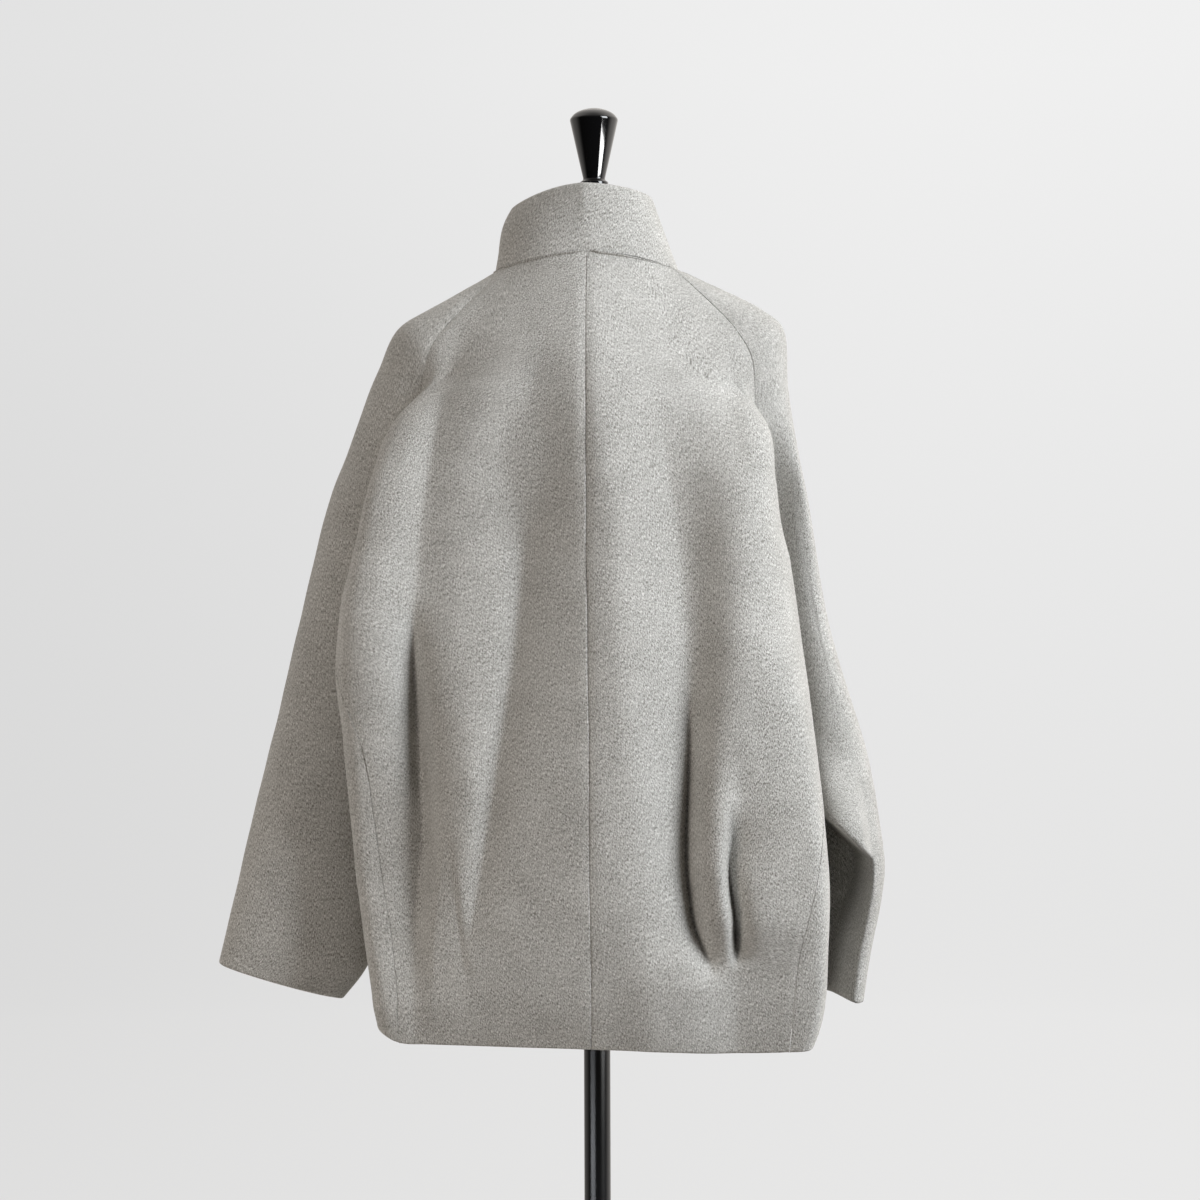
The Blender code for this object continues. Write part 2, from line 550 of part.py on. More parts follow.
def material(name):
    made = bpy.data.materials.get(name)
    if made is None:
        made = bpy.data.materials.new(name)
        made.use_nodes = True
        shader = made.node_tree.nodes["Principled BSDF"]
        shader.inputs["Base Color"].default_value = COLOURS[name]
        shader.inputs["Roughness"].default_value = 0.9 if name in ("wool", "linen") else 0.3
    return made


def place(name, mesh, slot, group):
    obj = bpy.data.objects.new(name, mesh)
    mesh.materials.append(material(slot))
    group.objects.link(obj)
    return obj


def cloth(name, steps, shape, wall, slot, group, turned=False):
    """A grid drawn onto shape(across, up), thickened inwards by a Solidify modifier."""
    bm = bmesh.new()
    bmesh.ops.create_grid(bm, x_segments=steps[0], y_segments=steps[1], size=0.5)
    flat = np.array([v.co[:2] for v in bm.verts]) + 0.5
    spots = np.column_stack(shape(flat[:, 0], flat[:, 1]))
    for vert, spot in zip(bm.verts, spots):
        vert.co = spot
    bmesh.ops.remove_doubles(bm, verts=bm.verts, dist=0.00005)
    if turned:
        bmesh.ops.reverse_faces(bm, faces=bm.faces)
    mesh = bpy.data.meshes.new(name)
    bm.to_mesh(mesh)
    bm.free()
    obj = place(name, mesh, slot, group)
    thick = obj.modifiers.new("wall", "SOLIDIFY")
    thick.thickness = wall
    thick.offset = -1.0
    return obj


def turned(name, profile, steps, slot, group):
    """A round piece from its outer side, top to bottom, by a Screw modifier."""
    mesh = bpy.data.meshes.new(name)
    edges = [(i, i + 1) for i in range(len(profile) - 1)]
    mesh.from_pydata([(r, 0.0, z) for r, z in profile], edges, [])
    obj = place(name, mesh, slot, group)
    spin = obj.modifiers.new("turn", "SCREW")
    spin.steps = spin.render_steps = steps
    spin.use_merge_vertices = True
    spin.merge_threshold = 0.0001
    spin.use_smooth_shade = False
    return obj


def torso(name, slot, group):
    """A UV sphere whose rings are moved onto the girths of the form."""
    rows = girths()
    bm = bmesh.new()
    bmesh.ops.create_uvsphere(bm, u_segments=TORSO_SEGMENTS, v_segments=TORSO_RINGS + 1, radius=1.0)
    heights = column(rows, "height")
    for vert in bm.verts:
        level = math.acos(max(-1.0, min(1.0, -vert.co.z))) / math.pi * (TORSO_RINGS + 1)
        share = (round(level) - 1) / (TORSO_RINGS - 1)
        top, bottom = share > 1.0, share < 0.0
        spot = float(np.interp(share * (len(rows) - 1), range(len(rows)), heights))
        half = float(through(spot, heights, column(rows, "half")))
        back = float(through(spot, heights, column(rows, "back")))
        front = float(through(spot, heights, column(rows, "front")))
        a = math.atan2(vert.co.x, vert.co.y)
        s, c = math.sin(a), math.cos(a)
        r = 0.0 if top or bottom else 1.0
        vert.co.x = r * half * math.copysign(abs(s) ** TORSO_SQUARE, s)
        vert.co.y = r * (back if c > 0 else -front) * math.copysign(abs(c) ** TORSO_SQUARE, c)
        vert.co.z = spot
    mesh = bpy.data.meshes.new(name)
    bm.to_mesh(mesh)
    bm.free()
    return place(name, mesh, slot, group)


def main():
    clear_scene()
    parts = collection("wool_blouson_on_dress_form")
    for side, hand in ((1, "left"), (-1, "right")):
        def back(across, up, side=side):
            return back_panel(side, across, up)

        def front(across, up, side=side):
            return front_panel(side, across, up)

        def sleeve(across, up, side=side):
            return sleeve_tube(side, across, up)

        cloth(f"back_{hand}", BACK_STEPS, back, WALL, "wool", parts, turned=side > 0)
        cloth(f"front_{hand}", FRONT_STEPS, front, WALL, "wool", parts, turned=side > 0)
        cloth(f"sleeve_{hand}", SLEEVE_STEPS, sleeve, WALL, "wool", parts, turned=side > 0)
    cloth("collar", COLLAR_STEPS, collar_ring, COLLAR_WALL, "wool", parts)

    torso("form_torso", "linen", parts)
    for name, profile, steps, slot in (
        ("neck_cap", NECK_CAP, CAP_STEPS, "black_lacquer"),
        ("finial", FINIAL, FINIAL_STEPS, "black_lacquer"),
        ("pole", POLE, POLE_STEPS, "black_steel"),
        ("base_plate", BASE_PLATE, BASE_STEPS, "black_steel"),
    ):
        turned(name, profile, steps, slot, parts)


main()
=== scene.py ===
import math
import bpy
import numpy as np
from mathutils import Matrix, Vector


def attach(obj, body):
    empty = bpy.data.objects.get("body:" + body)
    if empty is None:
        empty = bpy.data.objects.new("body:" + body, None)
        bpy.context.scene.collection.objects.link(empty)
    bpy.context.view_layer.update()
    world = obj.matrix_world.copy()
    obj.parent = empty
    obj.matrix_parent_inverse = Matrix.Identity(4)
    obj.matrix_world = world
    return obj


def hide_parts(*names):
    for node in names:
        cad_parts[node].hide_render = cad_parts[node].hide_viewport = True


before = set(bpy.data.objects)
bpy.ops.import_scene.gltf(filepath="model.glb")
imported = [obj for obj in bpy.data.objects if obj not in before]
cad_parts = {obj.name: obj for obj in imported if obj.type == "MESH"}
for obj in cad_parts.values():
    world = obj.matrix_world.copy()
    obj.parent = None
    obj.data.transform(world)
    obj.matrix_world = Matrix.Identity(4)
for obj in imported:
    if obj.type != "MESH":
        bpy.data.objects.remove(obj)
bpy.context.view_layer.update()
print("frame loaded, nodes:", ", ".join(sorted(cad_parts)))


# Small helpers for shapes, all on whole arrays
def ease(x):  # 3x^2 - 2x^3 from 0 to 1, level outside
    x = np.clip(x, 0.0, 1.0)
    return x * x * (3.0 - 2.0 * x)


def mix(a, b, share):  # a, plus a share of the way to b
    return a + (b - a) * share


def bump(x, wide):  # bell, exp(-(x / wide)^2)
    return np.exp(-((x / wide) ** 2))


def through(x, knots, values):  # smooth curve through the values at the knots, by cubic pieces
    knots = np.asarray(knots, float)
    values = np.asarray(values, float)
    slopes = np.gradient(values, knots)
    x = np.clip(x, knots[0], knots[-1])
    i = np.clip(np.searchsorted(knots, x, side="right") - 1, 0, len(knots) - 2)
    span = knots[i + 1] - knots[i]
    t = (x - knots[i]) / span
    return (
        (2 * t**3 - 3 * t**2 + 1) * values[i]
        + (t**3 - 2 * t**2 + t) * span * slopes[i]
        + (3 * t**2 - 2 * t**3) * values[i + 1]
        + (t**3 - t**2) * span * slopes[i + 1]
    )


def crowd(count, peaks):  # 0 to 1 in count steps, closer together around each (place, width, weight)
    t = np.linspace(0.0, 1.0, 2001)
    density = np.ones_like(t)
    for place, width, weight in peaks:
        density = density + weight * bump(t - place, width)
    total = np.concatenate([[0.0], np.cumsum((density[1:] + density[:-1]) / 2)])
    return np.interp(np.linspace(0.0, 1.0, count + 1), total / total[-1], t)


def ripple(x, y, seed, waves):  # slow uneven waves, from sines of unlike length and direction
    rng = np.random.default_rng(seed)
    out = np.zeros_like(x)
    for length in waves:
        turn = rng.uniform(0, 2 * math.pi, 2)
        out = out + np.sin(2 * math.pi * (x * np.cos(turn[0]) + y * np.sin(turn[0])) / length + turn[1])
    return out / len(waves)


# Cloth: one layer of thick wool, two at the collar, turned up at the hem and the cuffs
wool = {
    "wall": 0.0028,
    "collarWall": 0.0045,
    "hemWall": 0.0056,       # two layers
    "hemDeep": 0.038,        # height of the turned hem
    "seamGap": 0.0001,
    "seamRoll": 0.0015,      # how far from a seam the cloth starts to turn in
    "seamDeep": 0.0005,      # how deep it turns in at the centre back, and less at the pressed seams
    "pressedDeep": 0.00010,
    "edgeRoll": 0.0030,
    "rimRoll": 0.0045,
    "seamPuff": 0.0003,      # the seam allowances lift the cloth on both sides of a seam
    "puffAt": 0.0075,        # distance of that lift from the seam
    "puffWide": 0.006,
    "hemStep": 0.008,        # length over which the turned hem's second layer ends
    "lapGap": 0.0013,
    "lap": 0.020,
    "lapFrom": 1.4,          # the right front is up this many laps before the centre
    "lapRamp": 0.030,
    "waveDeep": 0.0005,      # slow waves of the panels, lifted a little so that they stay off the form
    "waveLift": 0.9,
    "waveLong": (0.050, 0.083, 0.120, 0.170),
}
# Trims: rough widths of the pieces, which turn the seam gap into a share, and a wider gap under the arm
trims = {
    "back": 0.30, "front": 0.40, "sleeve": 0.20, "sleeveOver": 0.02,
    "underarm": 0.0010, "underarmOver": 0.3, "frontMore": 5.0, "frontOver": 0.1,
    "backTurn": 2.4, "backFrom": 0.6, "backOver": 0.3,
}

# Neck line and collar: an oval that drops to the front, and a rim that leans to the left
neck = {
    "x": 0.007, "y": -0.004, "wide": 0.0870, "back": 0.066, "front": 0.071,
    "zBack": 1.383, "zSide": 1.370, "zFront": 1.338,
    "seamBack": 62.0, "seamFront": 116.0,       # degrees from the centre back
    "rimX": 0.011, "rimY": -0.006, "rimWide": 0.0655, "rimBack": 0.060, "rimFront": 0.058,
    "rimZBack": 1.449, "rimZLeft": 1.434, "rimZRight": 1.442, "rimZFront": 1.404,
    "bulge": 0.0048, "bulgeRound": 1.5, "bulgeLow": 1.6, "pressed": 0.48,
    "lapFrom": 2.4,          # the collar's right end starts to rise this many laps before the centre front
    "from": 0.78,            # place on the raglan seam from where all pieces close onto the neck line
}

# Body, a column for each size: one value for each level from the hem up to the underarm
levels = {
    "height": (0.653, 0.672, 0.700, 0.740, 0.800, 0.860, 0.930, 1.000, 1.055, 1.100),
    "middle": (0.005, 0.005, 0.005, 0.005, 0.006, 0.006, 0.006, 0.007, 0.007, 0.008),
    "back": (0.147, 0.154, 0.162, 0.170, 0.180, 0.186, 0.187, 0.183, 0.176, 0.168),
    "front": (-0.134, -0.140, -0.146, -0.151, -0.156, -0.158, -0.157, -0.152, -0.148, -0.145),
    "edgeLeft": (0.2030, 0.2065, 0.2085, 0.214, 0.222, 0.2275, 0.2340, 0.2405, 0.2360, 0.2250),
    "edgeRight": (0.1985, 0.2050, 0.2100, 0.2120, 0.2130, 0.2090, 0.2020, 0.1935, 0.1860, 0.1790),
    "edgeY": (0.050, 0.053, 0.055, 0.058, 0.060, 0.061, 0.062, 0.064, 0.067, 0.070),
    "sideLeft": (0.190, 0.195, 0.197, 0.198, 0.191, 0.185, 0.182, 0.180, 0.181, 0.185),
    "sideRight": (0.188, 0.190, 0.190, 0.189, 0.184, 0.177, 0.169, 0.161, 0.157, 0.156),
    "sideY": (0.000, 0.000, 0.000, 0.000, 0.000, -0.004, -0.010, -0.018, -0.034, -0.046),
    "seamLeft": (0.490, 0.482, 0.475, 0.472, 0.484, 0.500, 0.530, 0.680, 0.870, 1.00),
    "seamRight": (0.480, 0.460, 0.452, 0.464, 0.530, 0.615, 0.690, 0.790, 0.900, 1.00),
}
# Body above the underarm: one value for each place along the raglan seam up to the neck
rises = {
    "along": (0.00, 0.25, 0.50, 0.655, 0.76, 0.87, 1.00),
    "backHeight": (1.100, 1.175, 1.245, 1.290, 1.322, 1.352, 1.383),
    "back": (0.168, 0.158, 0.141, 0.121, 0.103, 0.083, 0.062),
    "frontHeight": (1.100, 1.165, 1.225, 1.262, 1.288, 1.312, 1.338),
    "front": (-0.145, -0.141, -0.130, -0.117, -0.105, -0.092, -0.075),
    "outLeft": (0.040, 0.033, 0.022, -0.004, -0.012, -0.012, -0.010),
    "outRight": (0.023, 0.014, 0.016, 0.000, -0.012, -0.012, -0.010),
    "riseLeft": (0.116, 0.066, 0.016, 0.006, 0.006, 0.005, 0.004),
    "riseRight": (0.116, 0.088, 0.024, 0.006, 0.006, 0.005, 0.004),
    "flat": (0.0, 0.0, 0.25, 0.9, 1.0, 1.0, 1.0),
}
ring = {
    "middle": 0.008, "edgeAt": 0.72, "turnEnds": 0.85, "turnSway": 0.25,
    "backSpread": 0.9, "backFull": 0.50, "backFlat": 0.95,
    "frontRound": 2.4, "frontFull": 0.46, "frontFlat": 0.80, "rowCrowd": 0.05,
    "foldFade": 0.24, "foldStart": 0.05, "frontFoldFrom": 1.05, "frontFoldFade": 0.15,
    "hemDrop": 0.004, "hemDropX": -0.125, "hemDropWide": 0.070, "hemDropHigh": 0.10, "hemDropIn": 0.05,
    "cornerLift": 0.013, "cornerX": 0.165, "cornerWide": 0.045, "cornerHigh": 0.06,
}
# The back is a blunt roof: place of its crest across, the fall per metre on each side, the place and
# depth of a soft step and a sharper lip in the left side, and how late each side rounds off to the edge
roof = {
    "height": (0.650, 0.705, 0.760, 0.850, 0.920, 1.020, 1.130, 1.220, 1.320),
    "crest": (-0.052, -0.051, -0.049, -0.042, -0.033, -0.025, -0.018, -0.006, 0.007),
    "left": (0.18, 0.19, 0.20, 0.22, 0.23, 0.24, 0.24, 0.22, 0.20),
    "right": (0.00, 0.03, 0.06, 0.13, 0.18, 0.12, 0.10, 0.14, 0.30),
    "stepAt": (0.140, 0.139, 0.138, 0.134, 0.138, 0.146, 0.148, 0.148, 0.140),
    "stepDeep": (0.006, 0.009, 0.013, 0.016, 0.013, 0.004, 0.000, 0.000, 0.000),
    "lipAt": (0.160, 0.159, 0.158, 0.150, 0.157, 0.165, 0.168, 0.160, 0.150),
    "lipDeep": (0.000, 0.006, 0.017, 0.025, 0.016, 0.000, 0.000, 0.000, 0.000),
    "roundLeft": (50.0, 40.0, 30.0, 26.0, 22.0, 16.0, 9.0, 4.5, 6.0),
    "roundRight": (60.0, 60.0, 60.0, 50.0, 34.0, 10.0, 8.0, 8.0, 8.0),
}
stepWide, lipWide = 0.060, 0.024
roofRound = 0.009

# Sleeves, from the cuff up to the neck: the two ends of each section seen from behind, its depths,
# the angle at which it starts from its seam, 180 for a closed ring, how its back leans: under 1 the
# highest line of the back lies nearer to the outside, and how square it is: under 1 it is flatter
sleeves = {
    1: {
        "along": (-1.00, -0.92, -0.80, -0.65, -0.48, -0.31, -0.14, 0.00, 0.25, 0.50, 0.655, 0.76, 0.87, 1.00),
        "outerX": (0.360, 0.352, 0.340, 0.326, 0.309, 0.293, 0.276, 0.261, 0.233, 0.205, 0.183, 0.157,
                   0.128, 0.093),
        "outerZ": (0.715, 0.748, 0.802, 0.863, 0.933, 1.002, 1.075, 1.135, 1.211, 1.279, 1.319, 1.3345,
                   1.350, 1.370),
        "innerX": (0.243, 0.219, 0.207, 0.203, 0.200, 0.199, 0.195, 0.185, 0.174, 0.163, 0.154, 0.140,
                   0.117, 0.085),
        "innerZ": (0.681, 0.713, 0.770, 0.833, 0.906, 0.977, 1.046, 1.100, 1.172, 1.245, 1.290, 1.3135,
                   1.337, 1.362),
        "midY": (-0.020, -0.023, -0.028, -0.034, -0.044, -0.050, -0.052, -0.046, -0.038, -0.018, -0.003,
                 -0.002, -0.004, -0.008),
        "back": (0.030, 0.038, 0.045, 0.050, 0.048, 0.046, 0.046, 0.050, 0.056, 0.062, 0.061, 0.056,
                 0.048, 0.036),
        "front": (0.030, 0.038, 0.046, 0.054, 0.062, 0.072, 0.073, 0.076, 0.074, 0.075, 0.082, 0.078,
                  0.060, 0.038),
        "start": (180, 180, 180, 180, 180, 180, 180, 180, 125, 92, 76, 73, 76, 82),
        "lean": (1.0,) * 14,
        "square": (0.85,) * 14,
    },
    -1: {
        "along": (-1.00, -0.92, -0.81, -0.70, -0.60, -0.45, -0.28, -0.12, 0.00, 0.25, 0.50, 0.655, 0.76,
                  0.87, 1.00),
        "outerX": (0.256, 0.262, 0.271, 0.2755, 0.270, 0.257, 0.232, 0.217, 0.207, 0.193, 0.1825, 0.178,
                   0.157, 0.128, 0.093),
        "outerZ": (0.672, 0.713, 0.762, 0.806, 0.849, 0.919, 1.000, 1.064, 1.125, 1.195, 1.262, 1.317,
                   1.3345, 1.350, 1.370),
        "innerX": (0.205, 0.205, 0.205, 0.204, 0.202, 0.197, 0.183, 0.169, 0.156, 0.153, 0.149, 0.146,
                   0.134, 0.114, 0.085),
        "innerZ": (0.682, 0.715, 0.754, 0.793, 0.833, 0.901, 0.984, 1.046, 1.100, 1.165, 1.235, 1.285,
                   1.308, 1.334, 1.362),
        "midY": (-0.052, -0.050, -0.047, -0.044, -0.040, -0.043, -0.049, -0.053, -0.046, -0.037, -0.016,
                 -0.003, -0.002, -0.004, -0.008),
        "back": (0.056, 0.056, 0.054, 0.056, 0.066, 0.064, 0.057, 0.050, 0.050, 0.056, 0.062, 0.061,
                 0.056, 0.048, 0.036),
        "front": (0.058, 0.060, 0.062, 0.064, 0.066, 0.072, 0.075, 0.076, 0.078, 0.075, 0.076, 0.082,
                  0.078, 0.060, 0.038),
        "start": (180, 180, 180, 180, 180, 180, 180, 180, 180, 142, 86, 70, 68, 74, 82),
        "lean": (1.0, 1.0, 0.98, 0.96, 0.95, 0.92, 0.74, 0.62, 0.50, 0.38, 0.70, 1.0, 1.0, 1.0, 1.0),
        "square": (0.80, 0.80, 0.75, 0.70, 0.66, 0.66, 0.74, 0.82, 0.90, 1.00, 0.90, 0.85, 0.85, 0.85, 0.85),
    },
}
# Right elbow: the upper sleeve hangs over the forearm, whose back is hollow beside the body
elbow = {
    "innerZ": 0.872, "outerZ": 0.797, "out": 0.020, "sharp": 0.008, "reach": 0.090,
    "ridgeFrom": 0.66, "ridgeLow": 0.34, "ridgeTo": 0.82,
    "ridgeHigh": 0.40, "ridgeZ": 0.715, "ridgeFade": 0.085,
    "floor": 0.95, "cuffZ": 0.680, "fadeOver": 0.130, "fill": 0.14,
}

# Valleys of the back, each with its height, place across and depth from the hem up, and the width and
# power of its two sides as seen from behind. A low power makes the bottom crisp.
backFolds = {
    "left_outer": {
        "z": (0.690, 0.735, 0.765, 0.800, 0.850, 0.920, 1.020, 1.130, 1.215, 1.290, 1.350),
        "x": (0.166, 0.166, 0.165, 0.164, 0.162, 0.164, 0.167, 0.160, 0.146, 0.130, 0.120),
        "depth": (0.000, 0.002, 0.002, 0.002, 0.003, 0.008, 0.018, 0.021, 0.017, 0.006, 0.000),
        "left": (0.030, 0.030, 0.030, 0.030, 0.030, 0.030, 0.031, 0.031, 0.024, 0.024, 0.024),
        "leftPower": 1.6,
        "right": (0.026, 0.026, 0.028, 0.030, 0.034, 0.036, 0.038, 0.042, 0.038, 0.034, 0.034),
        "rightPower": 1.45},
    "left_outer_crease": {
        "z": (0.735, 0.765, 0.800, 0.850, 0.920, 1.000, 1.060),
        "x": (0.161, 0.161, 0.158, 0.1560, 0.1620, 0.1675, 0.168),
        "depth": (0.000, 0.004, 0.006, 0.009, 0.020, 0.019, 0.000),
        "left": (0.012, 0.014, 0.016, 0.017, 0.012, 0.010, 0.009), "leftPower": 1.5,
        "right": (0.013, 0.014, 0.015, 0.016, 0.014, 0.011, 0.010), "rightPower": 1.4},
    "left_inner": {
        "z": (0.690, 0.735, 0.765, 0.800, 0.850, 0.920, 1.020, 1.130, 1.215, 1.290, 1.350),
        "x": (0.122, 0.119, 0.1145, 0.109, 0.1020, 0.0915, 0.0755, 0.068, 0.067, 0.048, 0.036),
        "depth": (0.006, 0.010, 0.014, 0.020, 0.026, 0.034, 0.042, 0.043, 0.035, 0.008, 0.000),
        "left": (0.110, 0.110, 0.110, 0.110, 0.110, 0.110, 0.105, 0.085, 0.056, 0.050, 0.050),
        "leftPower": 1.3,
        "right": (0.070, 0.070, 0.072, 0.078, 0.084, 0.086, 0.084, 0.074, 0.054, 0.050, 0.050),
        "rightPower": 1.6},
    "left_inner_crease": {
        "z": (0.735, 0.765, 0.800, 0.850, 0.920, 1.020, 1.130, 1.180),
        "x": (0.118, 0.1130, 0.1070, 0.0990, 0.0880, 0.073, 0.0640, 0.060),
        "depth": (0.000, 0.0055, 0.0080, 0.0095, 0.0105, 0.0085, 0.0055, 0.000),
        "left": 0.012, "leftPower": 1.5, "right": 0.015, "rightPower": 1.4},
    "centre_seam": {
        "z": (0.650, 0.800, 1.000, 1.100, 1.170, 1.250, 1.330, 1.370),
        "x": (0.005, 0.006, 0.007, 0.008, 0.008, 0.008, 0.008, 0.008),
        "depth": (0.0003, 0.0007, 0.0010, 0.0010, 0.0016, 0.0020, 0.0014, 0.0004),
        "left": (0.012, 0.012, 0.012, 0.010, 0.008, 0.007, 0.007, 0.007), "leftPower": 1.5,
        "right": 0.008, "rightPower": 1.5},
    "right": {
        "z": (0.713, 0.738, 0.763, 0.785, 0.817, 0.850, 0.920, 1.020, 1.130, 1.215, 1.290, 1.350),
        "x": (-0.109, -0.100, -0.091, -0.087, -0.083, -0.083, -0.0845, -0.083, -0.074, -0.062, -0.052,
              -0.050),
        "depth": (0.000, 0.012, 0.024, 0.028, 0.034, 0.038, 0.039, 0.036, 0.036, 0.028, 0.007, 0.000),
        "left": (0.040, 0.040, 0.042, 0.042, 0.044, 0.046, 0.049, 0.049, 0.050, 0.052, 0.050, 0.050),
        "leftPower": 1.45,
        "right": (0.013, 0.013, 0.013, 0.013, 0.012, 0.013, 0.018, 0.030, 0.047, 0.068, 0.080, 0.080),
        "rightPower": (1.2, 1.2, 1.2, 1.2, 1.2, 1.2, 1.25, 2.0, 2.0, 1.8, 1.8, 1.8)},
    "right_crease": {
        "z": (0.722, 0.738, 0.763, 0.800, 0.835, 0.880, 0.925, 0.980),
        "x": (-0.104, -0.0980, -0.0880, -0.0825, -0.0805, -0.0825, -0.0850, -0.085),
        "depth": (0.000, 0.008, 0.012, 0.013, 0.014, 0.012, 0.008, 0.000),
        "left": 0.007, "leftPower": 1.6, "right": 0.010, "rightPower": 1.3},
    "right_slit": {
        "z": (0.730, 0.738, 0.752, 0.775, 0.800, 0.822, 0.840, 0.875),
        "x": (-0.1265, -0.1265, -0.1260, -0.1245, -0.1210, -0.1195, -0.1205, -0.122),
        "depth": (0.000, 0.010, 0.022, 0.026, 0.025, 0.021, 0.015, 0.000),
        "left": 0.0048, "leftPower": 2.2, "right": 0.009, "rightPower": 1.3},
    "right_hollow": {
        "z": (0.760, 0.800, 0.840, 0.880, 0.930),
        "x": (-0.138, -0.135, -0.132, -0.130, -0.128),
        "depth": (0.000, 0.005, 0.011, 0.008, 0.000),
        "left": 0.014, "leftPower": 1.8, "right": 0.030, "rightPower": 1.6},
    "right_hem": {
        "z": (0.640, 0.690, 0.735, 0.770),
        "x": (-0.1265, -0.1265, -0.127, -0.127),
        "depth": (0.010, 0.013, 0.011, 0.000),
        "left": 0.034, "leftPower": 1.6, "right": 0.060, "rightPower": 1.4},
    "right_raglan": {
        "z": (1.175, 1.215, 1.245, 1.275, 1.300, 1.320),
        "x": (-0.130, -0.127, -0.122, -0.114, -0.106, -0.100),
        "depth": (0.000, 0.010, 0.014, 0.010, 0.003, 0.000),
        "left": 0.055, "leftPower": 1.5, "right": 0.020, "rightPower": 1.8},
    "left_tuck": {
        "z": (0.715, 0.740, 0.765, 0.800, 0.845, 0.880),
        "x": (0.1190, 0.1230, 0.1260, 0.1300, 0.1365, 0.140),
        "depth": (0.000, 0.0026, 0.0036, 0.0030, 0.0008, 0.000),
        "left": 0.030, "leftPower": 1.4, "right": 0.0046, "rightPower": 1.6},
    "left_hem": {
        "z": (0.640, 0.690, 0.735, 0.770),
        "x": (0.108, 0.114, 0.118, 0.121),
        "depth": (0.001, 0.002, 0.002, 0.000),
        "left": 0.030, "leftPower": 1.4, "right": 0.040, "rightPower": 1.4},
}
# Girths of the dress form behind the cloth
form = {
    "height": (0.730, 0.800, 0.870, 0.940, 1.000, 1.060, 1.130, 1.200, 1.255, 1.290, 1.312, 1.340, 1.366),
    "half": (0.150, 0.164, 0.160, 0.137, 0.120, 0.128, 0.142, 0.146, 0.156, 0.167, 0.168, 0.137, 0.071),
    "back": (0.104, 0.121, 0.118, 0.097, 0.083, 0.090, 0.103, 0.108, 0.099, 0.080, 0.066, 0.052, 0.047),
}
formRound, formFull = 2.17, 0.46
formClear, formSoft = 0.006, 0.003      # least room between a valley and the form, and how softly it stops
# Valleys of the plain front, on both sides of its centre
frontFolds = {
    "outer": {
        "z": (0.690, 0.735, 0.790, 0.850, 0.920, 1.020, 1.130, 1.215),
        "x": (0.121, 0.120, 0.119, 0.117, 0.114, 0.107, 0.098, 0.091),
        "depth": (0.001, 0.004, 0.012, 0.017, 0.018, 0.015, 0.009, 0.001),
        "left": 0.034, "leftPower": 1.5, "right": 0.036, "rightPower": 1.5},
    "inner": {
        "z": (0.690, 0.735, 0.790, 0.850, 0.920, 1.020, 1.130, 1.215),
        "x": (0.062, 0.062, 0.060, 0.057, 0.053, 0.050, 0.050, 0.046),
        "depth": (0.000, 0.003, 0.008, 0.011, 0.012, 0.010, 0.006, 0.001),
        "left": 0.032, "leftPower": 1.5, "right": 0.032, "rightPower": 1.5},
}


def neckLine(degrees):  # an oval: x by the sine, y by the cosine, height by the cosine squared
    a = np.radians(degrees)
    behind = np.cos(a) > 0
    y = neck["y"] + np.cos(a) * np.where(behind, neck["back"], neck["front"])
    drop = np.where(behind, neck["zBack"], neck["zFront"]) - neck["zSide"]
    return neck["x"] + neck["wide"] * np.sin(a), y, neck["zSide"] + drop * np.cos(a) ** 2


def cells(x, table, key):  # every column of a table at x
    return {name: through(x, table[key], values) for name, values in table.items() if name != key}


def elbowBack(turn, height, out, full, cell):
    # above the fold line the full round. Below it a floor pressed towards the front wall, then a ridge that
    # runs on from the upper sleeve on the outside and sinks to the cuff, where the hollow fills up again.
    line = mix(elbow["innerZ"], elbow["outerZ"], out)
    below = ease((line - height) / elbow["sharp"] + 0.5)
    above = 1.0 - ease((height - line) / elbow["reach"])
    high = ease((height - elbow["ridgeZ"]) / elbow["ridgeFade"])
    ridgeFrom = mix(elbow["ridgeLow"], elbow["ridgeFrom"], high)
    rise = ease((out - ridgeFrom) / (elbow["ridgeTo"] - ridgeFrom))
    past = np.clip((out - elbow["ridgeTo"]) / (1.0 - elbow["ridgeTo"]), 0.0, 1.0)
    ridge = mix(elbow["ridgeHigh"] * cell["back"] * np.sqrt(1.0 - past**2), full, high)
    hang = full * (1.0 + elbow["out"] * above * (1.0 - rise) / cell["back"])
    hollow = mix(-elbow["floor"] * cell["front"] * np.sin(turn), ridge, rise)
    fill = elbow["fill"] * (1.0 - ease((height - elbow["cuffZ"]) / elbow["fadeOver"]))
    return cell["midY"] + mix(hang, mix(hollow, full, fill), below)


def sleevePoint(side, around, along):  # an oval section at each place along, open above the underarm
    cell = cells(along, sleeves[side], "along")
    start = np.radians(np.where(along <= 0.0, 180.0, cell["start"]))
    turn = start * (1.0 - 2.0 * around)
    middle = -np.cos(start) / (1.0 - np.cos(start))
    out = middle + (1.0 - middle) * np.cos(turn)
    x = side * mix(cell["innerX"], cell["outerX"], out)
    z = mix(cell["innerZ"], cell["outerZ"], out)
    leaned = start * np.clip(turn / start, 0.0, 1.0) ** cell["lean"]
    behind = cell["back"] * np.abs(np.sin(leaned)) ** cell["square"]
    y = cell["midY"] + np.where(turn > 0, behind, cell["front"] * np.sin(turn))
    if side < 0:
        y = np.where((turn > 0) & (along < 0.0), elbowBack(turn, z, out, behind, cell), y)
    onto = ease((along - neck["from"]) / (1.0 - neck["from"]))
    to = neckLine(side * mix(neck["seamBack"], neck["seamFront"], around))
    return mix(x, to[0], onto), mix(y, to[1], onto), mix(z, to[2], onto)


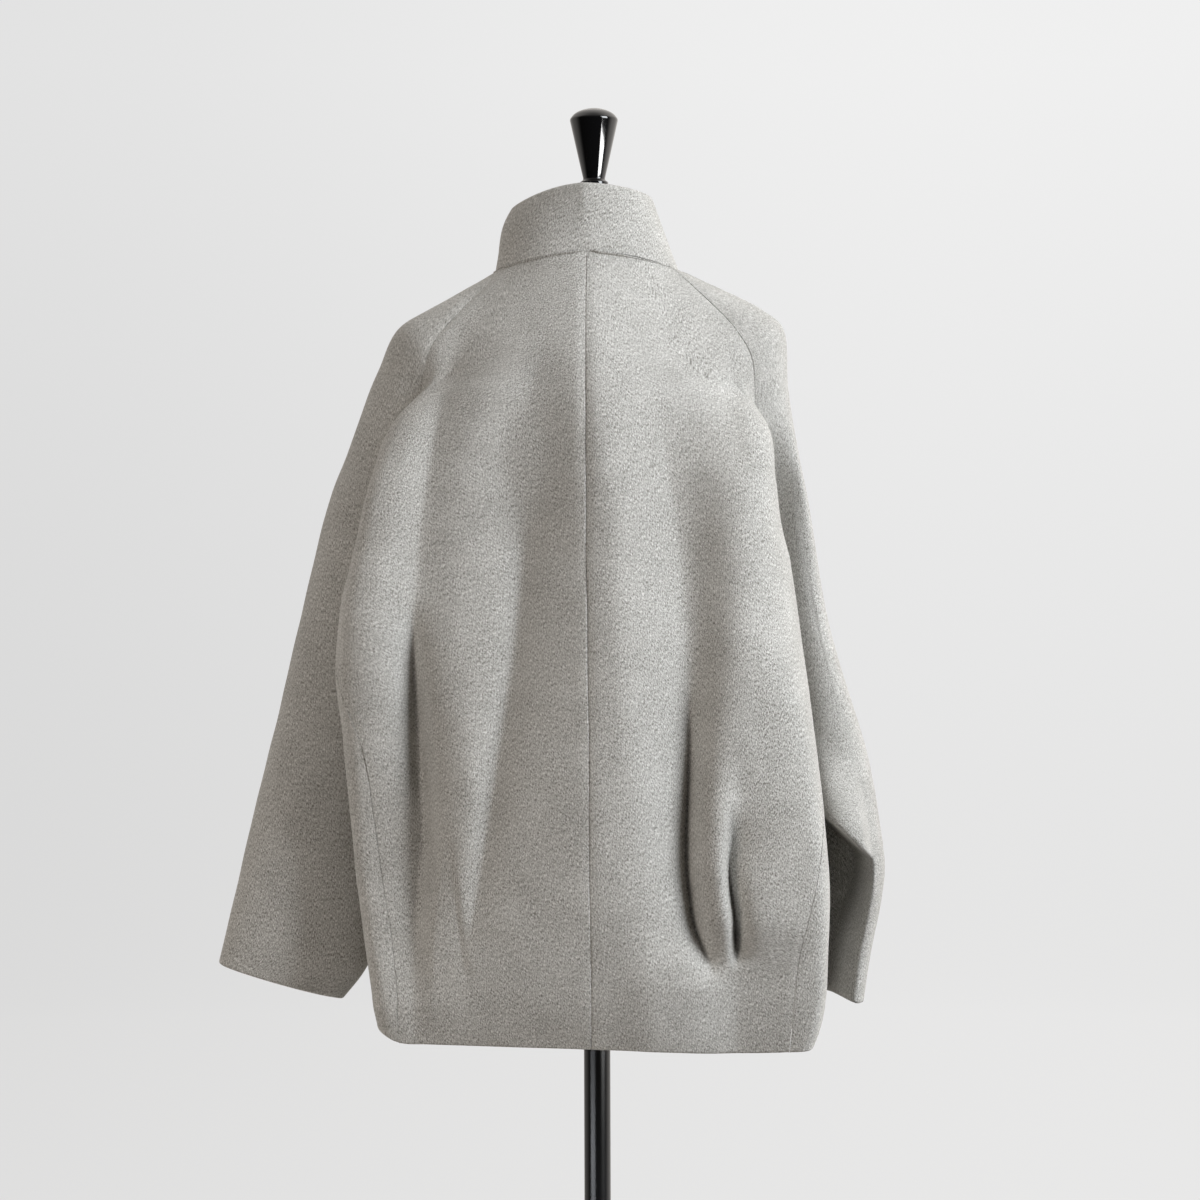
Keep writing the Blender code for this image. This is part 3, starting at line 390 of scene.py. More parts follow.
def roofFall(x, eaves):  # straight slopes with a rounded crest, the step and the lip
    off = x - eaves["crest"]
    slope = np.where(off > 0, eaves["left"], eaves["right"])
    step = eaves["stepDeep"] * ease((x - eaves["stepAt"]) / stepWide + 0.5)
    lip = eaves["lipDeep"] * ease((x - eaves["lipAt"]) / lipWide + 0.5)
    return slope * (np.hypot(off, roofRound) - roofRound) + step + lip


def halfRing(side, tau, centre, edge, backEnd, frontEnd, front, flat):
    # from the centre back (tau 0) out to the edge, in to the seam (tau 1), on to the centre front (tau 2)
    a = np.clip(tau / ring["edgeAt"], 0.0, 1.0) * math.pi / 2
    wide = np.sin(a) ** ring["backSpread"]
    backX = mix(side * centre[0], edge[0], wide)
    backZ = mix(centre[2], backEnd[2], wide**2)
    eaves = cells(backZ, roof, "height")
    late = eaves["roundLeft"] if side > 0 else eaves["roundRight"]
    full = np.clip(1.0 - wide**late, 0.0, 1.0) ** ring["backFull"]
    backY = mix(edge[1], centre[1] - roofFall(side * backX, eaves), full)

    b = np.clip((tau - ring["edgeAt"]) / (1.0 - ring["edgeAt"]), 0.0, 1.0)
    swayed = b + ring["turnSway"] * np.sin(2 * math.pi * b) / math.pi
    turnX = mix(edge[0], backEnd[0], ease(b / ring["turnEnds"]))
    turnY = mix(edge[1], backEnd[1], swayed)

    yoke = np.clip(tau, 0.0, 1.0)                       # above the underarm: straight out to the seam
    yokeX = mix(side * centre[0], backEnd[0], yoke)
    yokeZ = mix(centre[2], backEnd[2], yoke**2)
    fall = roofFall(side * yokeX, cells(yokeZ, roof, "height"))
    yokeY = mix(backEnd[1], centre[1] - fall, (1.0 - yoke**2) ** ring["backFlat"])

    c = np.clip(tau - 1.0, 0.0, 1.2) * math.pi / 2
    narrow = np.cos(c)
    bulge = 1.0 - np.abs(narrow) ** ring["frontRound"]
    bulge = np.clip(bulge, 0.0, 1.0) ** mix(ring["frontFull"], ring["frontFlat"], flat)
    frontX = frontEnd[0] * narrow
    frontY = mix(frontEnd[1], front[0], bulge)
    frontZ = mix(front[1], frontEnd[2], narrow**2)

    behind = tau <= ring["edgeAt"]
    x = np.where(tau <= 1.0, mix(np.where(behind, backX, turnX), yokeX, flat), frontX)
    y = np.where(tau <= 1.0, mix(np.where(behind, backY, turnY), yokeY, flat), frontY)
    z = np.where(tau <= 1.0, mix(np.where(behind, backZ, backEnd[2]), yokeZ, flat), frontZ)
    return side * x, y, z


def lowerPoint(side, tau, height):  # the half ring at a height, from the levels
    cell = cells(height, levels, "height")
    edge = cell["edgeLeft"] if side > 0 else cell["edgeRight"]
    flank = cell["sideLeft"] if side > 0 else cell["sideRight"]
    end = (flank, cell["sideY"], height)
    centre = (cell["middle"], cell["back"], height)
    return halfRing(side, tau, centre, (edge, cell["edgeY"]), end, end, (cell["front"], height), 0.0)


def upperPoint(side, tau, along):  # the half ring between the raglan seams, closing onto the neck
    cell = cells(along, rises, "along")
    out = cell["outLeft"] if side > 0 else cell["outRight"]
    rise = cell["riseLeft"] if side > 0 else cell["riseRight"]
    backSeam = sleevePoint(side, np.zeros_like(along), along)
    frontSeam = sleevePoint(side, np.ones_like(along), along)
    backEnd = (side * backSeam[0], backSeam[1], backSeam[2])
    frontEnd = (side * frontSeam[0], frontSeam[1], frontSeam[2])
    x, y, z = halfRing(
        side, tau, (ring["middle"], cell["back"], cell["backHeight"]),
        (backEnd[0] + out, backEnd[1] + rise), backEnd, frontEnd,
        (cell["front"], cell["frontHeight"]), np.clip(cell["flat"], 0.0, 1.0),
    )
    onto = ease((along - neck["from"]) / (1.0 - neck["from"]))
    behind = neck["seamBack"] * np.clip(tau, 0, 1)
    before = mix(neck["seamFront"], 180.0, np.clip(tau - 1, 0, 2))
    to = neckLine(side * np.where(tau <= 1, behind, before))
    return mix(x, to[0], onto), mix(y, to[1], onto), mix(z, to[2], onto)


hemZ, underarmZ = levels["height"][0], levels["height"][-1]


def smoothBody(side, tau, level):  # level 0 is the hem, 1 the underarm, 2 the neck
    low = lowerPoint(side, tau, mix(hemZ, underarmZ, np.clip(level, 0.0, 1.0)))
    high = upperPoint(side, tau, np.clip(level - 1.0, 0.0, 1.0))
    return [np.where(level <= 1.0, a, b) for a, b in zip(low, high)]


def foldDepth(folds, across, height):  # sum of valleys, each exp(-|distance / width|^power) deep
    depth = np.zeros_like(across)
    for fold in folds.values():
        here = {}
        for name, value in fold.items():
            here[name] = value if np.isscalar(value) else through(height, fold["z"], value)
        off = across - here["x"]
        wide = np.where(off > 0, here["left"], here["right"])
        power = np.where(off > 0, here["leftPower"], here["rightPower"])
        here["depth"] = np.maximum(here["depth"], 0.0)
        depth = depth + here["depth"] * np.exp(-np.abs(off / wide) ** power)
    return depth


def formBack(x, z):  # back of the dress form: an oval a little fuller than an ellipse at each height
    cell = cells(z, form, "height")
    return cell["back"] * np.clip(1.0 - np.abs(x / cell["half"]) ** formRound, 0.0, 1.0) ** formFull


def beyond(over):  # 0 below the limit, as much as it is over above it, with a soft start
    return formSoft * np.logaddexp(0.0, over / formSoft)


def bodyPoint(side, tau, level):  # the smooth ring, pressed in from behind and from in front by the folds
    x, y, z = smoothBody(side, tau, level)
    flat = np.clip(through(np.clip(level - 1.0, 0.0, 1.0), rises["along"], rises["flat"]), 0.0, 1.0)
    behind = ease((mix(ring["edgeAt"], 1.0, flat) - tau) / ring["foldFade"] + ring["foldStart"])
    before = ease((tau - ring["frontFoldFrom"]) / ring["frontFoldFade"])
    room = np.maximum(y - formBack(x, z) - formClear, 0.0)
    deep = foldDepth(backFolds, x, z) * behind
    deep = deep - beyond(deep - room) + beyond(-room)                      # not through the form
    deep = deep - foldDepth(frontFolds, np.abs(x), z) * before
    drop = ring["hemDrop"] * bump(x - ring["hemDropX"], ring["hemDropWide"])
    drop = drop * ease((hemZ + ring["hemDropHigh"] - z) / ring["hemDropHigh"]) * ease(y / ring["hemDropIn"])
    corner = ring["cornerLift"] * ease((x - ring["cornerX"]) / ring["cornerWide"]) ** 2
    drop = drop - corner * ease((hemZ + ring["cornerHigh"] - z) / ring["cornerHigh"])
    return x, y - deep, z - drop


def seamPlace(side, level):  # tau of the side seam
    height = mix(hemZ, underarmZ, np.clip(level, 0.0, 1.0))
    seam = levels["seamLeft"] if side > 0 else levels["seamRight"]
    return np.where(level < 1.0, through(height, levels["height"], seam), 1.0)


def bodyLevel(up):  # rows from the hem to the neck, closer together at the hem and under the arm
    low = np.minimum(up * 2.0, 1.0)
    return low - ring["rowCrowd"] * np.sin(2.0 * math.pi * low) + np.maximum(up * 2.0 - 1.0, 0.0)


def underarmGap(level):  # widest at the underarm, fading above and below it
    return trims["underarm"] * ease(1.0 - np.abs(level - 1.0) / trims["underarmOver"])


def backPanel(side, across, up):  # the half ring from the centre back to the side seam, less the gaps
    level = bodyLevel(up)
    tau = across * (1.0 - wool["seamGap"] / trims["back"]) * seamPlace(side, level)
    x, y, z = bodyPoint(side, tau, level)
    x = x + side * wool["seamGap"] * (1.0 - trims["backTurn"] * across)
    return x - side * underarmGap(level) * ease((across - trims["backFrom"]) / trims["backOver"]), y, z


frontAcross = {"level": (0.0, 1.0, 1.7, 2.0), "half": (0.194, 0.170, 0.130, 0.085), "crowd": 0.6}


def frontPanel(side, across, up):  # the half ring from the side seam past the centre front by the lap
    level = bodyLevel(up)
    trim = wool["seamGap"] / trims["front"]
    more = mix(1.0, trims["frontMore"], underarmGap(level) / trims["underarm"])
    start = seamPlace(side, level) + trim * more
    half = through(level, frontAcross["level"], frontAcross["half"])
    lap = np.arcsin(wool["lap"] / half) / (math.pi / 2)
    tau = mix(start, 2.0 + lap, mix(across, ease(across), frontAcross["crowd"]))
    x, y, z = bodyPoint(side, tau, level)
    below = np.clip((1.0 - level) / trims["frontOver"], -1.0, 1.0)
    x = x + side * wool["seamGap"] * below * (1.0 - across) ** 3
    x = x - side * underarmGap(level) * (1.0 - across) ** 3
    if side < 0:  # the right front rises over the left one
        rise = ease((x + wool["lapFrom"] * wool["lap"] + wool["lapRamp"]) / wool["lapRamp"])
        y = y - rise * (wool["wall"] + wool["lapGap"])
    return x, y, z


def sleeveTube(side, around, up):  # the sleeve's ovals from cuff to neck, less the gaps above the underarm
    along = mix(-1.0, 1.0, up)
    trim = np.where(along > 0.0, wool["seamGap"] / trims["sleeve"], 0.0)
    trim = trim * np.minimum(along / trims["sleeveOver"], 1.0)
    return sleevePoint(side, mix(trim, 1.0 - trim, around), along)


def collarRing(around, up):  # from its left end round the back to its right end, which laps over
    past = math.degrees(wool["lap"] / neck["front"])
    degrees = mix(180.0 + past, -180.0 - past, around)
    low = neckLine(degrees)
    a = np.radians(degrees)
    left, behind = np.sin(a) > 0, np.cos(a) > 0
    rimSide = np.where(left, neck["rimZLeft"], neck["rimZRight"])
    rimEnd = np.where(behind, neck["rimZBack"], neck["rimZFront"])
    rimX = neck["rimX"] + neck["rimWide"] * np.sin(a)
    rimBend = np.where(left & behind, mix(np.cos(a), 1.0 - np.sin(a), neck["pressed"]), np.cos(a))
    rimY = neck["rimY"] + rimBend * np.where(behind, neck["rimBack"], neck["rimFront"])
    rimZ = mix(rimSide, rimEnd, np.cos(a) ** 2)
    swell = np.where(left, neck["bulge"], 0.0) * np.abs(np.sin(a)) ** neck["bulgeRound"]
    swell = swell * np.sin(math.pi * up ** neck["bulgeLow"])
    lapped = ease((-degrees - 180.0 + neck["lapFrom"] * past) / past)
    x = mix(low[0], rimX, up) + swell * np.sin(a)
    y = mix(low[1], rimY, up) + swell * np.cos(a) - lapped * (wool["collarWall"] + wool["lapGap"])
    return x, y, mix(low[2] + 2 * wool["seamGap"], rimZ, up)


# Making of meshes
def gridNormals(grid):  # unit cross product of the grid's two directions
    n = np.cross(np.gradient(grid, axis=1), np.gradient(grid, axis=0))
    return n / np.maximum(np.linalg.norm(n, axis=2, keepdims=True), 1e-12)


def runs(grid):  # metres along the cloth from its first column, and from its first row
    du = np.linalg.norm(np.diff(grid, axis=1), axis=2)
    dv = np.linalg.norm(np.diff(grid, axis=0), axis=2)
    return np.pad(np.cumsum(du, axis=1), ((0, 0), (1, 0))), np.pad(np.cumsum(dv, axis=0), ((1, 0), (0, 0)))


def makeMesh(name, points, quads, uv, material, tris=None):  # faces as given, shaded smooth
    mesh = bpy.data.meshes.new(name)
    faces = quads.tolist() + ([] if tris is None else tris.tolist())
    mesh.from_pydata(points.tolist(), [], faces)
    if uv is not None:
        corner = np.empty(len(mesh.loops), np.int32)
        mesh.loops.foreach_get("vertex_index", corner)
        mesh.uv_layers.new(name="cloth").data.foreach_set("uv", uv[corner].astype(np.float32).ravel())
    mesh.polygons.foreach_set("use_smooth", np.ones(len(mesh.polygons), bool))
    mesh.materials.append(material)
    mesh.update()
    obj = bpy.data.objects.new(name, mesh)
    bpy.context.scene.collection.objects.link(obj)
    return obj


def clothPiece(name, grid, outward, wall, edges, relief, material):
    # outer skin = grid + relief along its normal, inner skin one wall behind it. Near each edge both
    # turn in a quarter round to the edge's own depth, where they share their last points.
    normal = gridNormals(grid) * outward
    grid = grid + normal * relief[..., None]
    normal = gridNormals(grid) * outward
    u, v = runs(grid)
    bend, total, deep = np.zeros(u.shape), np.full(u.shape, 1e-9), np.zeros(u.shape)
    for distance, (radius, edgeDeep) in zip((u, u[:, -1:] - u, v, v[-1:] - v), edges):
        t = np.clip(1.0 - distance / radius, 0.0, 1.0)
        here = 1.0 - np.sqrt(1.0 - t**2)
        bend = np.maximum(bend, here)
        total = total + here
        deep = deep + here * (wall / 2 if edgeDeep is None else edgeDeep)
    deep = deep / total
    outer = grid - normal * (deep * bend)[..., None]
    inner = grid - normal * (wall - (wall - deep) * bend)[..., None]

    rows, columns = u.shape
    outerIndex = np.arange(rows * columns).reshape(rows, columns)
    innerIndex = outerIndex.copy()
    within = np.arange((rows - 2) * (columns - 2)).reshape(rows - 2, columns - 2)
    innerIndex[1:-1, 1:-1] = rows * columns + within
    points = np.concatenate([outer.reshape(-1, 3), inner[1:-1, 1:-1].reshape(-1, 3)])
    flat = np.stack([u * outward, v], axis=2)        # across the image from left to right on every piece
    uv = np.concatenate([flat.reshape(-1, 2), flat[1:-1, 1:-1].reshape(-1, 2)])

    def quads(index, outwards):
        q = np.stack([index[:-1, :-1], index[:-1, 1:], index[1:, 1:], index[1:, :-1]], axis=2).reshape(-1, 4)
        return q if outwards else q[:, ::-1]

    faces = np.concatenate([quads(outerIndex, outward > 0), quads(innerIndex, outward < 0)])
    obj = makeMesh(name, points, faces, uv, material)
    du, dv = np.diff(u, axis=1)[:-1], np.diff(v, axis=0)[:, :-1]
    print(f"{name}: {len(faces) * 2} triangles, {np.sum(du * dv):.3f} m2 of cloth")
    return obj


def spun(line, steps):  # rings of (radius, height) about the z axis: x by the cosine, y by the sine
    a = np.linspace(0.0, 2 * math.pi, steps, endpoint=False)
    points = np.stack([
        line[:, :1] * np.cos(a), line[:, :1] * np.sin(a), np.repeat(line[:, 1:], steps, axis=1),
    ], axis=2).reshape(-1, 3)
    index = np.arange(len(points)).reshape(len(line), steps)
    after = np.roll(index, -1, axis=1)
    quads = np.stack([index[:-1], index[1:], after[1:], after[:-1]], axis=2).reshape(-1, 4)
    return points, quads, index, after


def turnedPiece(name, profile, steps, material):  # a profile with its corners rounded, closed on the axis
    corners = np.array([row[:2] for row in profile])
    line = [corners[0]]
    for i in range(1, len(corners) - 1):
        r = profile[i][2]
        a, b, c = corners[i - 1], corners[i], corners[i + 1]
        start = b + (a - b) * min(r / np.linalg.norm(a - b), 0.5)
        stop = b + (c - b) * min(r / np.linalg.norm(c - b), 0.5)
        t = np.linspace(0.0, 1.0, 7)[:, None]
        line.extend((1 - t) ** 2 * start + 2 * t * (1 - t) * b + t**2 * stop)
    line.append(corners[-1])
    line = np.array(line)
    points, quads, index, after = spun(line[1:-1], steps)
    ends = np.array([[0.0, 0.0, line[0, 1]], [0.0, 0.0, line[-1, 1]]])
    top = np.stack([np.full(steps, len(points)), index[0], after[0]], axis=1)
    low = np.stack([np.full(steps, len(points) + 1), after[-1], index[-1]], axis=1)
    return makeMesh(name, np.concatenate([points, ends]), quads, None, material, np.concatenate([top, low]))


# Materials
def linear(colour):  # sRGB hex to linear RGBA
    c = np.array([int(colour[i:i + 2], 16) for i in (1, 3, 5)]) / 255.0
    c = np.where(c <= 0.04045, c / 12.92, ((c + 0.055) / 1.055) ** 2.4)
    return (*c.tolist(), 1.0)


def addNode(tree, kind, sockets=None, **settings):  # a node with its sockets set or linked
    node = tree.nodes.new(kind)
    for name, value in settings.items():
        setattr(node, name, value)
    for socket, value in (sockets or {}).items():
        if isinstance(value, bpy.types.NodeSocket):
            tree.links.new(value, node.inputs[socket])
        else:
            node.inputs[socket].default_value = value
    return node


def noise(tree, vector, scale, detail, roughness=0.5):  # an uneven grey around one half
    return addNode(tree, "ShaderNodeTexNoise", {
        "Vector": vector, "Scale": scale, "Detail": detail, "Roughness": roughness,
    }).outputs[0]


def blend(tree, share, a, b):  # two greys mixed by a share
    return addNode(tree, "ShaderNodeMix", {0: share, 2: a, 3: b}, data_type="FLOAT").outputs[0]


def tinted(tree, share, a, b):  # two colours mixed by a share
    sockets = {0: share, 6: linear(a), 7: linear(b)}
    return addNode(tree, "ShaderNodeMix", sockets, data_type="RGBA").outputs[2]


def ranged(tree, value, start, stop, how="LINEAR"):  # a value from the start pair's range to the stop pair's
    return addNode(tree, "ShaderNodeMapRange", {
        0: value, 1: start[0], 2: start[1], 3: stop[0], 4: stop[1],
    }, interpolation_type=how).outputs[0]


def bumped(tree, height, deep, strength):  # a normal that leans with a height in metres
    sockets = {"Height": height, "Distance": deep, "Strength": strength}
    return addNode(tree, "ShaderNodeBump", sockets).outputs[0]


def newMaterial(name, values):  # a material with these values in its main shader
    material = bpy.data.materials.new(name)
    material.use_nodes = True
    shader = material.node_tree.nodes["Principled BSDF"]
    for socket, value in values.items():
        shader.inputs[socket].default_value = value
    return material, material.node_tree, shader


def perMetre(millimetres):  # texture scale for a feature of that size
    return 1000.0 / millimetres


# Wool melton, milled and brushed: a matte felted face of mixed pale and dark fibres, whose nap
# leans down the cloth and catches light along its edges. Real fibre tufts are about 0.5 mm, and are
# drawn 1 to 3 mm long so that they show.
meltonLook = {
    "pale": "#e4e2de", "middle": "#b8b6b1", "dark": "#77746e",
    "darkAt": 0.375, "middleAt": 0.50, "paleAt": 0.625,
    "fleckMm": 1.25, "streakMm": (0.60, 2.9), "cloudMm": 34.0, "napMm": 1.1,
    "streakTurn": -0.36, "streakShare": 0.58, "cloudShare": 0.07, "tuftShare": 0.4,
    "roughness": 0.95, "specular": 0.15, "sheen": 0.22, "sheenRough": 0.55, "sheenTint": "#f2efe9",
    "napDeep": 0.0006,
}


def milledWool():
    look = meltonLook
    material, tree, shader = newMaterial("wool_melton_milled", {
        "Roughness": look["roughness"], "Specular IOR Level": look["specular"], "Sheen Weight": look["sheen"],
        "Sheen Roughness": look["sheenRough"], "Sheen Tint": linear(look["sheenTint"]),
    })
    place = addNode(tree, "ShaderNodeTexCoord")
    solid = place.outputs["Object"]
    cloth = addNode(tree, "ShaderNodeMapping", {
        "Vector": place.outputs["UV"], "Rotation": (0.0, 0.0, look["streakTurn"]),
    })
    streaks = addNode(tree, "ShaderNodeMapping", {
        "Vector": cloth.outputs[0],
        "Scale": (perMetre(look["streakMm"][0]), perMetre(look["streakMm"][1]), 1.0),
    })
    fleck = noise(tree, solid, perMetre(look["fleckMm"]), 2.0, 0.6)
    streak = noise(tree, streaks.outputs[0], 1.0, 1.0)
    cloud = noise(tree, solid, perMetre(look["cloudMm"]), 2.0)
    both = blend(tree, look["streakShare"], fleck, streak)
    ramp = addNode(tree, "ShaderNodeValToRGB", {0: blend(tree, look["cloudShare"], both, cloud)})
    ramp.color_ramp.elements[0].position = look["darkAt"]
    ramp.color_ramp.elements[0].color = linear(look["dark"])
    ramp.color_ramp.elements[1].position = look["paleAt"]
    ramp.color_ramp.elements[1].color = linear(look["pale"])
    ramp.color_ramp.elements.new(look["middleAt"]).color = linear(look["middle"])
    nap = noise(tree, solid, perMetre(look["napMm"]), 3.0, 0.65)
    tufts = blend(tree, look["tuftShare"], nap, streak)
    tree.links.new(ramp.outputs[0], shader.inputs["Base Color"])
    tree.links.new(bumped(tree, tufts, look["napDeep"], 0.8), shader.inputs["Normal"])
    return material


# Black lacquer on turned wood: a deep gloss with a faint unevenness from the brush
lacquerLook = {
    "black": "#0b0b0c", "waveMm": 9.0, "waveDeep": 0.00006,
    "roughness": (0.05, 0.09), "ior": 1.53, "coat": 0.4, "coatRough": 0.06,
}


def glossLacquer():
    material, tree, shader = newMaterial("black_lacquer_on_wood", {
        "Base Color": linear(lacquerLook["black"]), "IOR": lacquerLook["ior"],
        "Coat Weight": lacquerLook["coat"], "Coat Roughness": lacquerLook["coatRough"],
    })
    solid = addNode(tree, "ShaderNodeTexCoord").outputs["Object"]
    wave = noise(tree, solid, perMetre(lacquerLook["waveMm"]), 1.0)
    tree.links.new(ranged(tree, wave, (0.0, 1.0), lacquerLook["roughness"]), shader.inputs["Roughness"])
    tree.links.new(bumped(tree, wave, lacquerLook["waveDeep"], 0.5), shader.inputs["Normal"])
    return material


# Satin black paint on steel tube: a broad soft highlight over a fine orange peel
paintLook = {
    "black": "#141415", "worn": "#1d1d1e", "peelMm": 1.6, "peelDeep": 0.00004, "patchMm": 60.0,
    "roughness": (0.21, 0.25), "ior": 1.5,
}


def satinPaint():
    material, tree, shader = newMaterial("satin_black_paint_on_steel", {"IOR": paintLook["ior"]})
    solid = addNode(tree, "ShaderNodeTexCoord").outputs["Object"]
    peel = noise(tree, solid, perMetre(paintLook["peelMm"]), 1.0)
    patch = noise(tree, solid, perMetre(paintLook["patchMm"]), 3.0)
    tree.links.new(tinted(tree, patch, paintLook["black"], paintLook["worn"]), shader.inputs["Base Color"])
    tree.links.new(ranged(tree, patch, (0.0, 1.0), paintLook["roughness"]), shader.inputs["Roughness"])
    tree.links.new(bumped(tree, peel, paintLook["peelDeep"], 0.6), shader.inputs["Normal"])
    return material


# Natural linen stretched over the form: a plain weave with slubs, thread spacing about 1 mm
linenLook = {
    "pale": "#c9bda6", "dark": "#a8997f", "threadMm": 1.1, "threadDeep": 0.0004, "slubMm": (26.0, 1.4),
    "roughness": 0.9, "specular": 0.2,
}


def plainLinen():
    material, tree, shader = newMaterial("natural_linen_plain_weave", {
        "Roughness": linenLook["roughness"], "Specular IOR Level": linenLook["specular"],
    })
    solid = addNode(tree, "ShaderNodeTexCoord").outputs["Object"]
    period = 2 * math.pi / (20.0 * linenLook["threadMm"] / 1000.0)  # the wave texture counts in twentieths
    across, along = [addNode(tree, "ShaderNodeTexWave", {
        "Vector": solid, "Scale": period, "Distortion": 1.0, "Detail": 1.0,
    }, bands_direction=way).outputs[1] for way in "XZ"]
    weave = addNode(tree, "ShaderNodeMath", {0: across, 1: along}, operation="MULTIPLY").outputs[0]
    stretched = addNode(tree, "ShaderNodeMapping", {
        "Vector": solid, "Scale": (perMetre(linenLook["slubMm"][0]), 1.0, perMetre(linenLook["slubMm"][1])),
    })
    slub = noise(tree, stretched.outputs[0], 1.0, 2.0)
    tree.links.new(tinted(tree, slub, linenLook["dark"], linenLook["pale"]), shader.inputs["Base Color"])
    tree.links.new(bumped(tree, weave, linenLook["threadDeep"], 0.7), shader.inputs["Normal"])
    return material


woolCloth, lacquer, paint, linen = milledWool(), glossLacquer(), satinPaint(), plainLinen()
print("materials made")


# Cloth pieces
def surface(shape, columns, rows, *side):  # a shape's points on a grid of its two parameters
    across, up = np.meshgrid(columns, rows)
    return np.stack(shape(*side, across, up), axis=2)


def seamRelief(grid, seams):  # a low bump beside each sewn edge: seams says which of the four are sewn
    u, v = runs(grid)
    lift = np.zeros(u.shape)
    for distance, sewn in zip((u, u[:, -1:] - u, v, v[-1:] - v), seams):
        if sewn:
            lift = lift + wool["seamPuff"] * bump(distance - wool["puffAt"], wool["puffWide"])
    return lift


def turnedWall(up):  # the wall is double along a turned hem or cuff, by the distance up from it
    return mix(wool["hemWall"], wool["wall"], ease((up - wool["hemDeep"]) / wool["hemStep"] + 0.5))


panels = {
    "back": {"shape": backPanel, "steps": (150, 210), "flat": (0.31, 0.76), "area": 0.190},
    "front": {"shape": frontPanel, "steps": (110, 210), "flat": (0.38, 0.74), "area": 0.225},
    "sleeve": {"shape": sleeveTube, "steps": (150, 210), "flat": (0.44, 0.80), "area": 0.230},
}
seam, pressed = (wool["seamRoll"], wool["seamDeep"]), (wool["seamRoll"], wool["pressedDeep"])
edge, rim = (wool["edgeRoll"], None), (wool["rimRoll"], None)  # None is half the wall
# where the grid's lines are closer together: (place, width, weight)
sideCrowd = ((0.0, 0.02, 3.0), (1.0, 0.02, 3.0))
hemCrowd = ((0.0, 0.012, 4.0), (1.0, 0.012, 3.0))
elbowCrowd = ((0.185, 0.03, 5.0),)
made = []
for side, hand in ((1, "left"), (-1, "right")):
    for kind, panel in panels.items():
        bent = kind == "sleeve" and side < 0
        columns = crowd(panel["steps"][0], sideCrowd)
        rows = crowd(panel["steps"][1], hemCrowd + elbowCrowd if bent else hemCrowd)
        grid = surface(panel["shape"], columns, rows, side)
        u, v = runs(grid)
        relief = seamRelief(grid, (1, kind != "front", 0, 1))
        relief = relief + wool["waveDeep"] * (wool["waveLift"] + ripple(u, v, 7 + side, wool["waveLong"]))
        edges = (seam if kind == "back" else pressed, edge if kind == "front" else pressed, edge, pressed)
        piece = clothPiece(f"{kind}_{hand}_cloth", grid, -side, turnedWall(v), edges, relief, woolCloth)
        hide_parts(f"{kind}_{hand}")
        made.append((piece, "wool"))

collar = {"steps": (260, 60), "flat": (0.56, 0.09), "area": 0.045}
columns = crowd(collar["steps"][0], ((0.0, 0.01, 3.0), (1.0, 0.01, 3.0)))
rows = crowd(collar["steps"][1], ((0.0, 0.05, 3.0), (1.0, 0.06, 5.0)))
grid = surface(collarRing, columns, rows)
wall = np.full(grid.shape[:2], wool["collarWall"])
relief = seamRelief(grid, (0, 0, 1, 0))
piece = clothPiece("collar_cloth", grid, 1, wall, (edge, edge, pressed, rim), relief, woolCloth)
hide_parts("collar")
made.append((piece, "wool"))
print("blouson made")

# Turned pieces: (radius, height, rounding of the corner), from the top of the axis down
capTop, capFoot, finialFoot = 1.452, 1.4403, 1.4523
poleTop, poleFoot, bossTop, plateTop = 0.7297, 0.0523, 0.052, 0.012
turnedPieces = {
    "neck_cap": ((0.0, capTop, 0.0), (0.016, capTop, 0.004), (0.034, capTop - 0.005, 0.010),
                 (0.0425, capTop - 0.0105, 0.002), (0.041, capFoot, 0.0005), (0.0, capFoot, 0.0)),
    "finial": ((0.0, finialFoot + 0.0735, 0.0), (0.0090, finialFoot + 0.0725, 0.010),
               (0.0185, finialFoot + 0.0686, 0.006), (0.0230, finialFoot + 0.0626, 0.0018),
               (0.0140, finialFoot + 0.0225, 0.010), (0.0101, finialFoot + 0.0055, 0.002),
               (0.0134, finialFoot + 0.0032, 0.001), (0.0134, finialFoot, 0.0006), (0.0, finialFoot, 0.0)),
    "pole": ((0.0, poleTop, 0.0), (0.0125, poleTop, 0.0006), (0.0125, poleFoot, 0.0006),
             (0.0, poleFoot, 0.0)),
    "base_plate": ((0.0, bossTop, 0.0), (0.024, bossTop, 0.003), (0.024, plateTop, 0.002),
                   (0.180, plateTop, 0.004), (0.180, 0.0, 0.001), (0.0, 0.0, 0.0)),
}
turnSteps = 128
for name, profile in turnedPieces.items():
    black = lacquer if name in ("neck_cap", "finial") else paint
    piece = turnedPiece(f"{name}_turned", profile, turnSteps, black)
    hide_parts(name)
    made.append((piece, "black_lacquer" if black is lacquer else "black_steel"))
print("stand made")

for piece, slotName in made:
    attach(piece, "root")
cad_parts["form_torso"].data.materials.clear()
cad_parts["form_torso"].data.materials.append(linen)

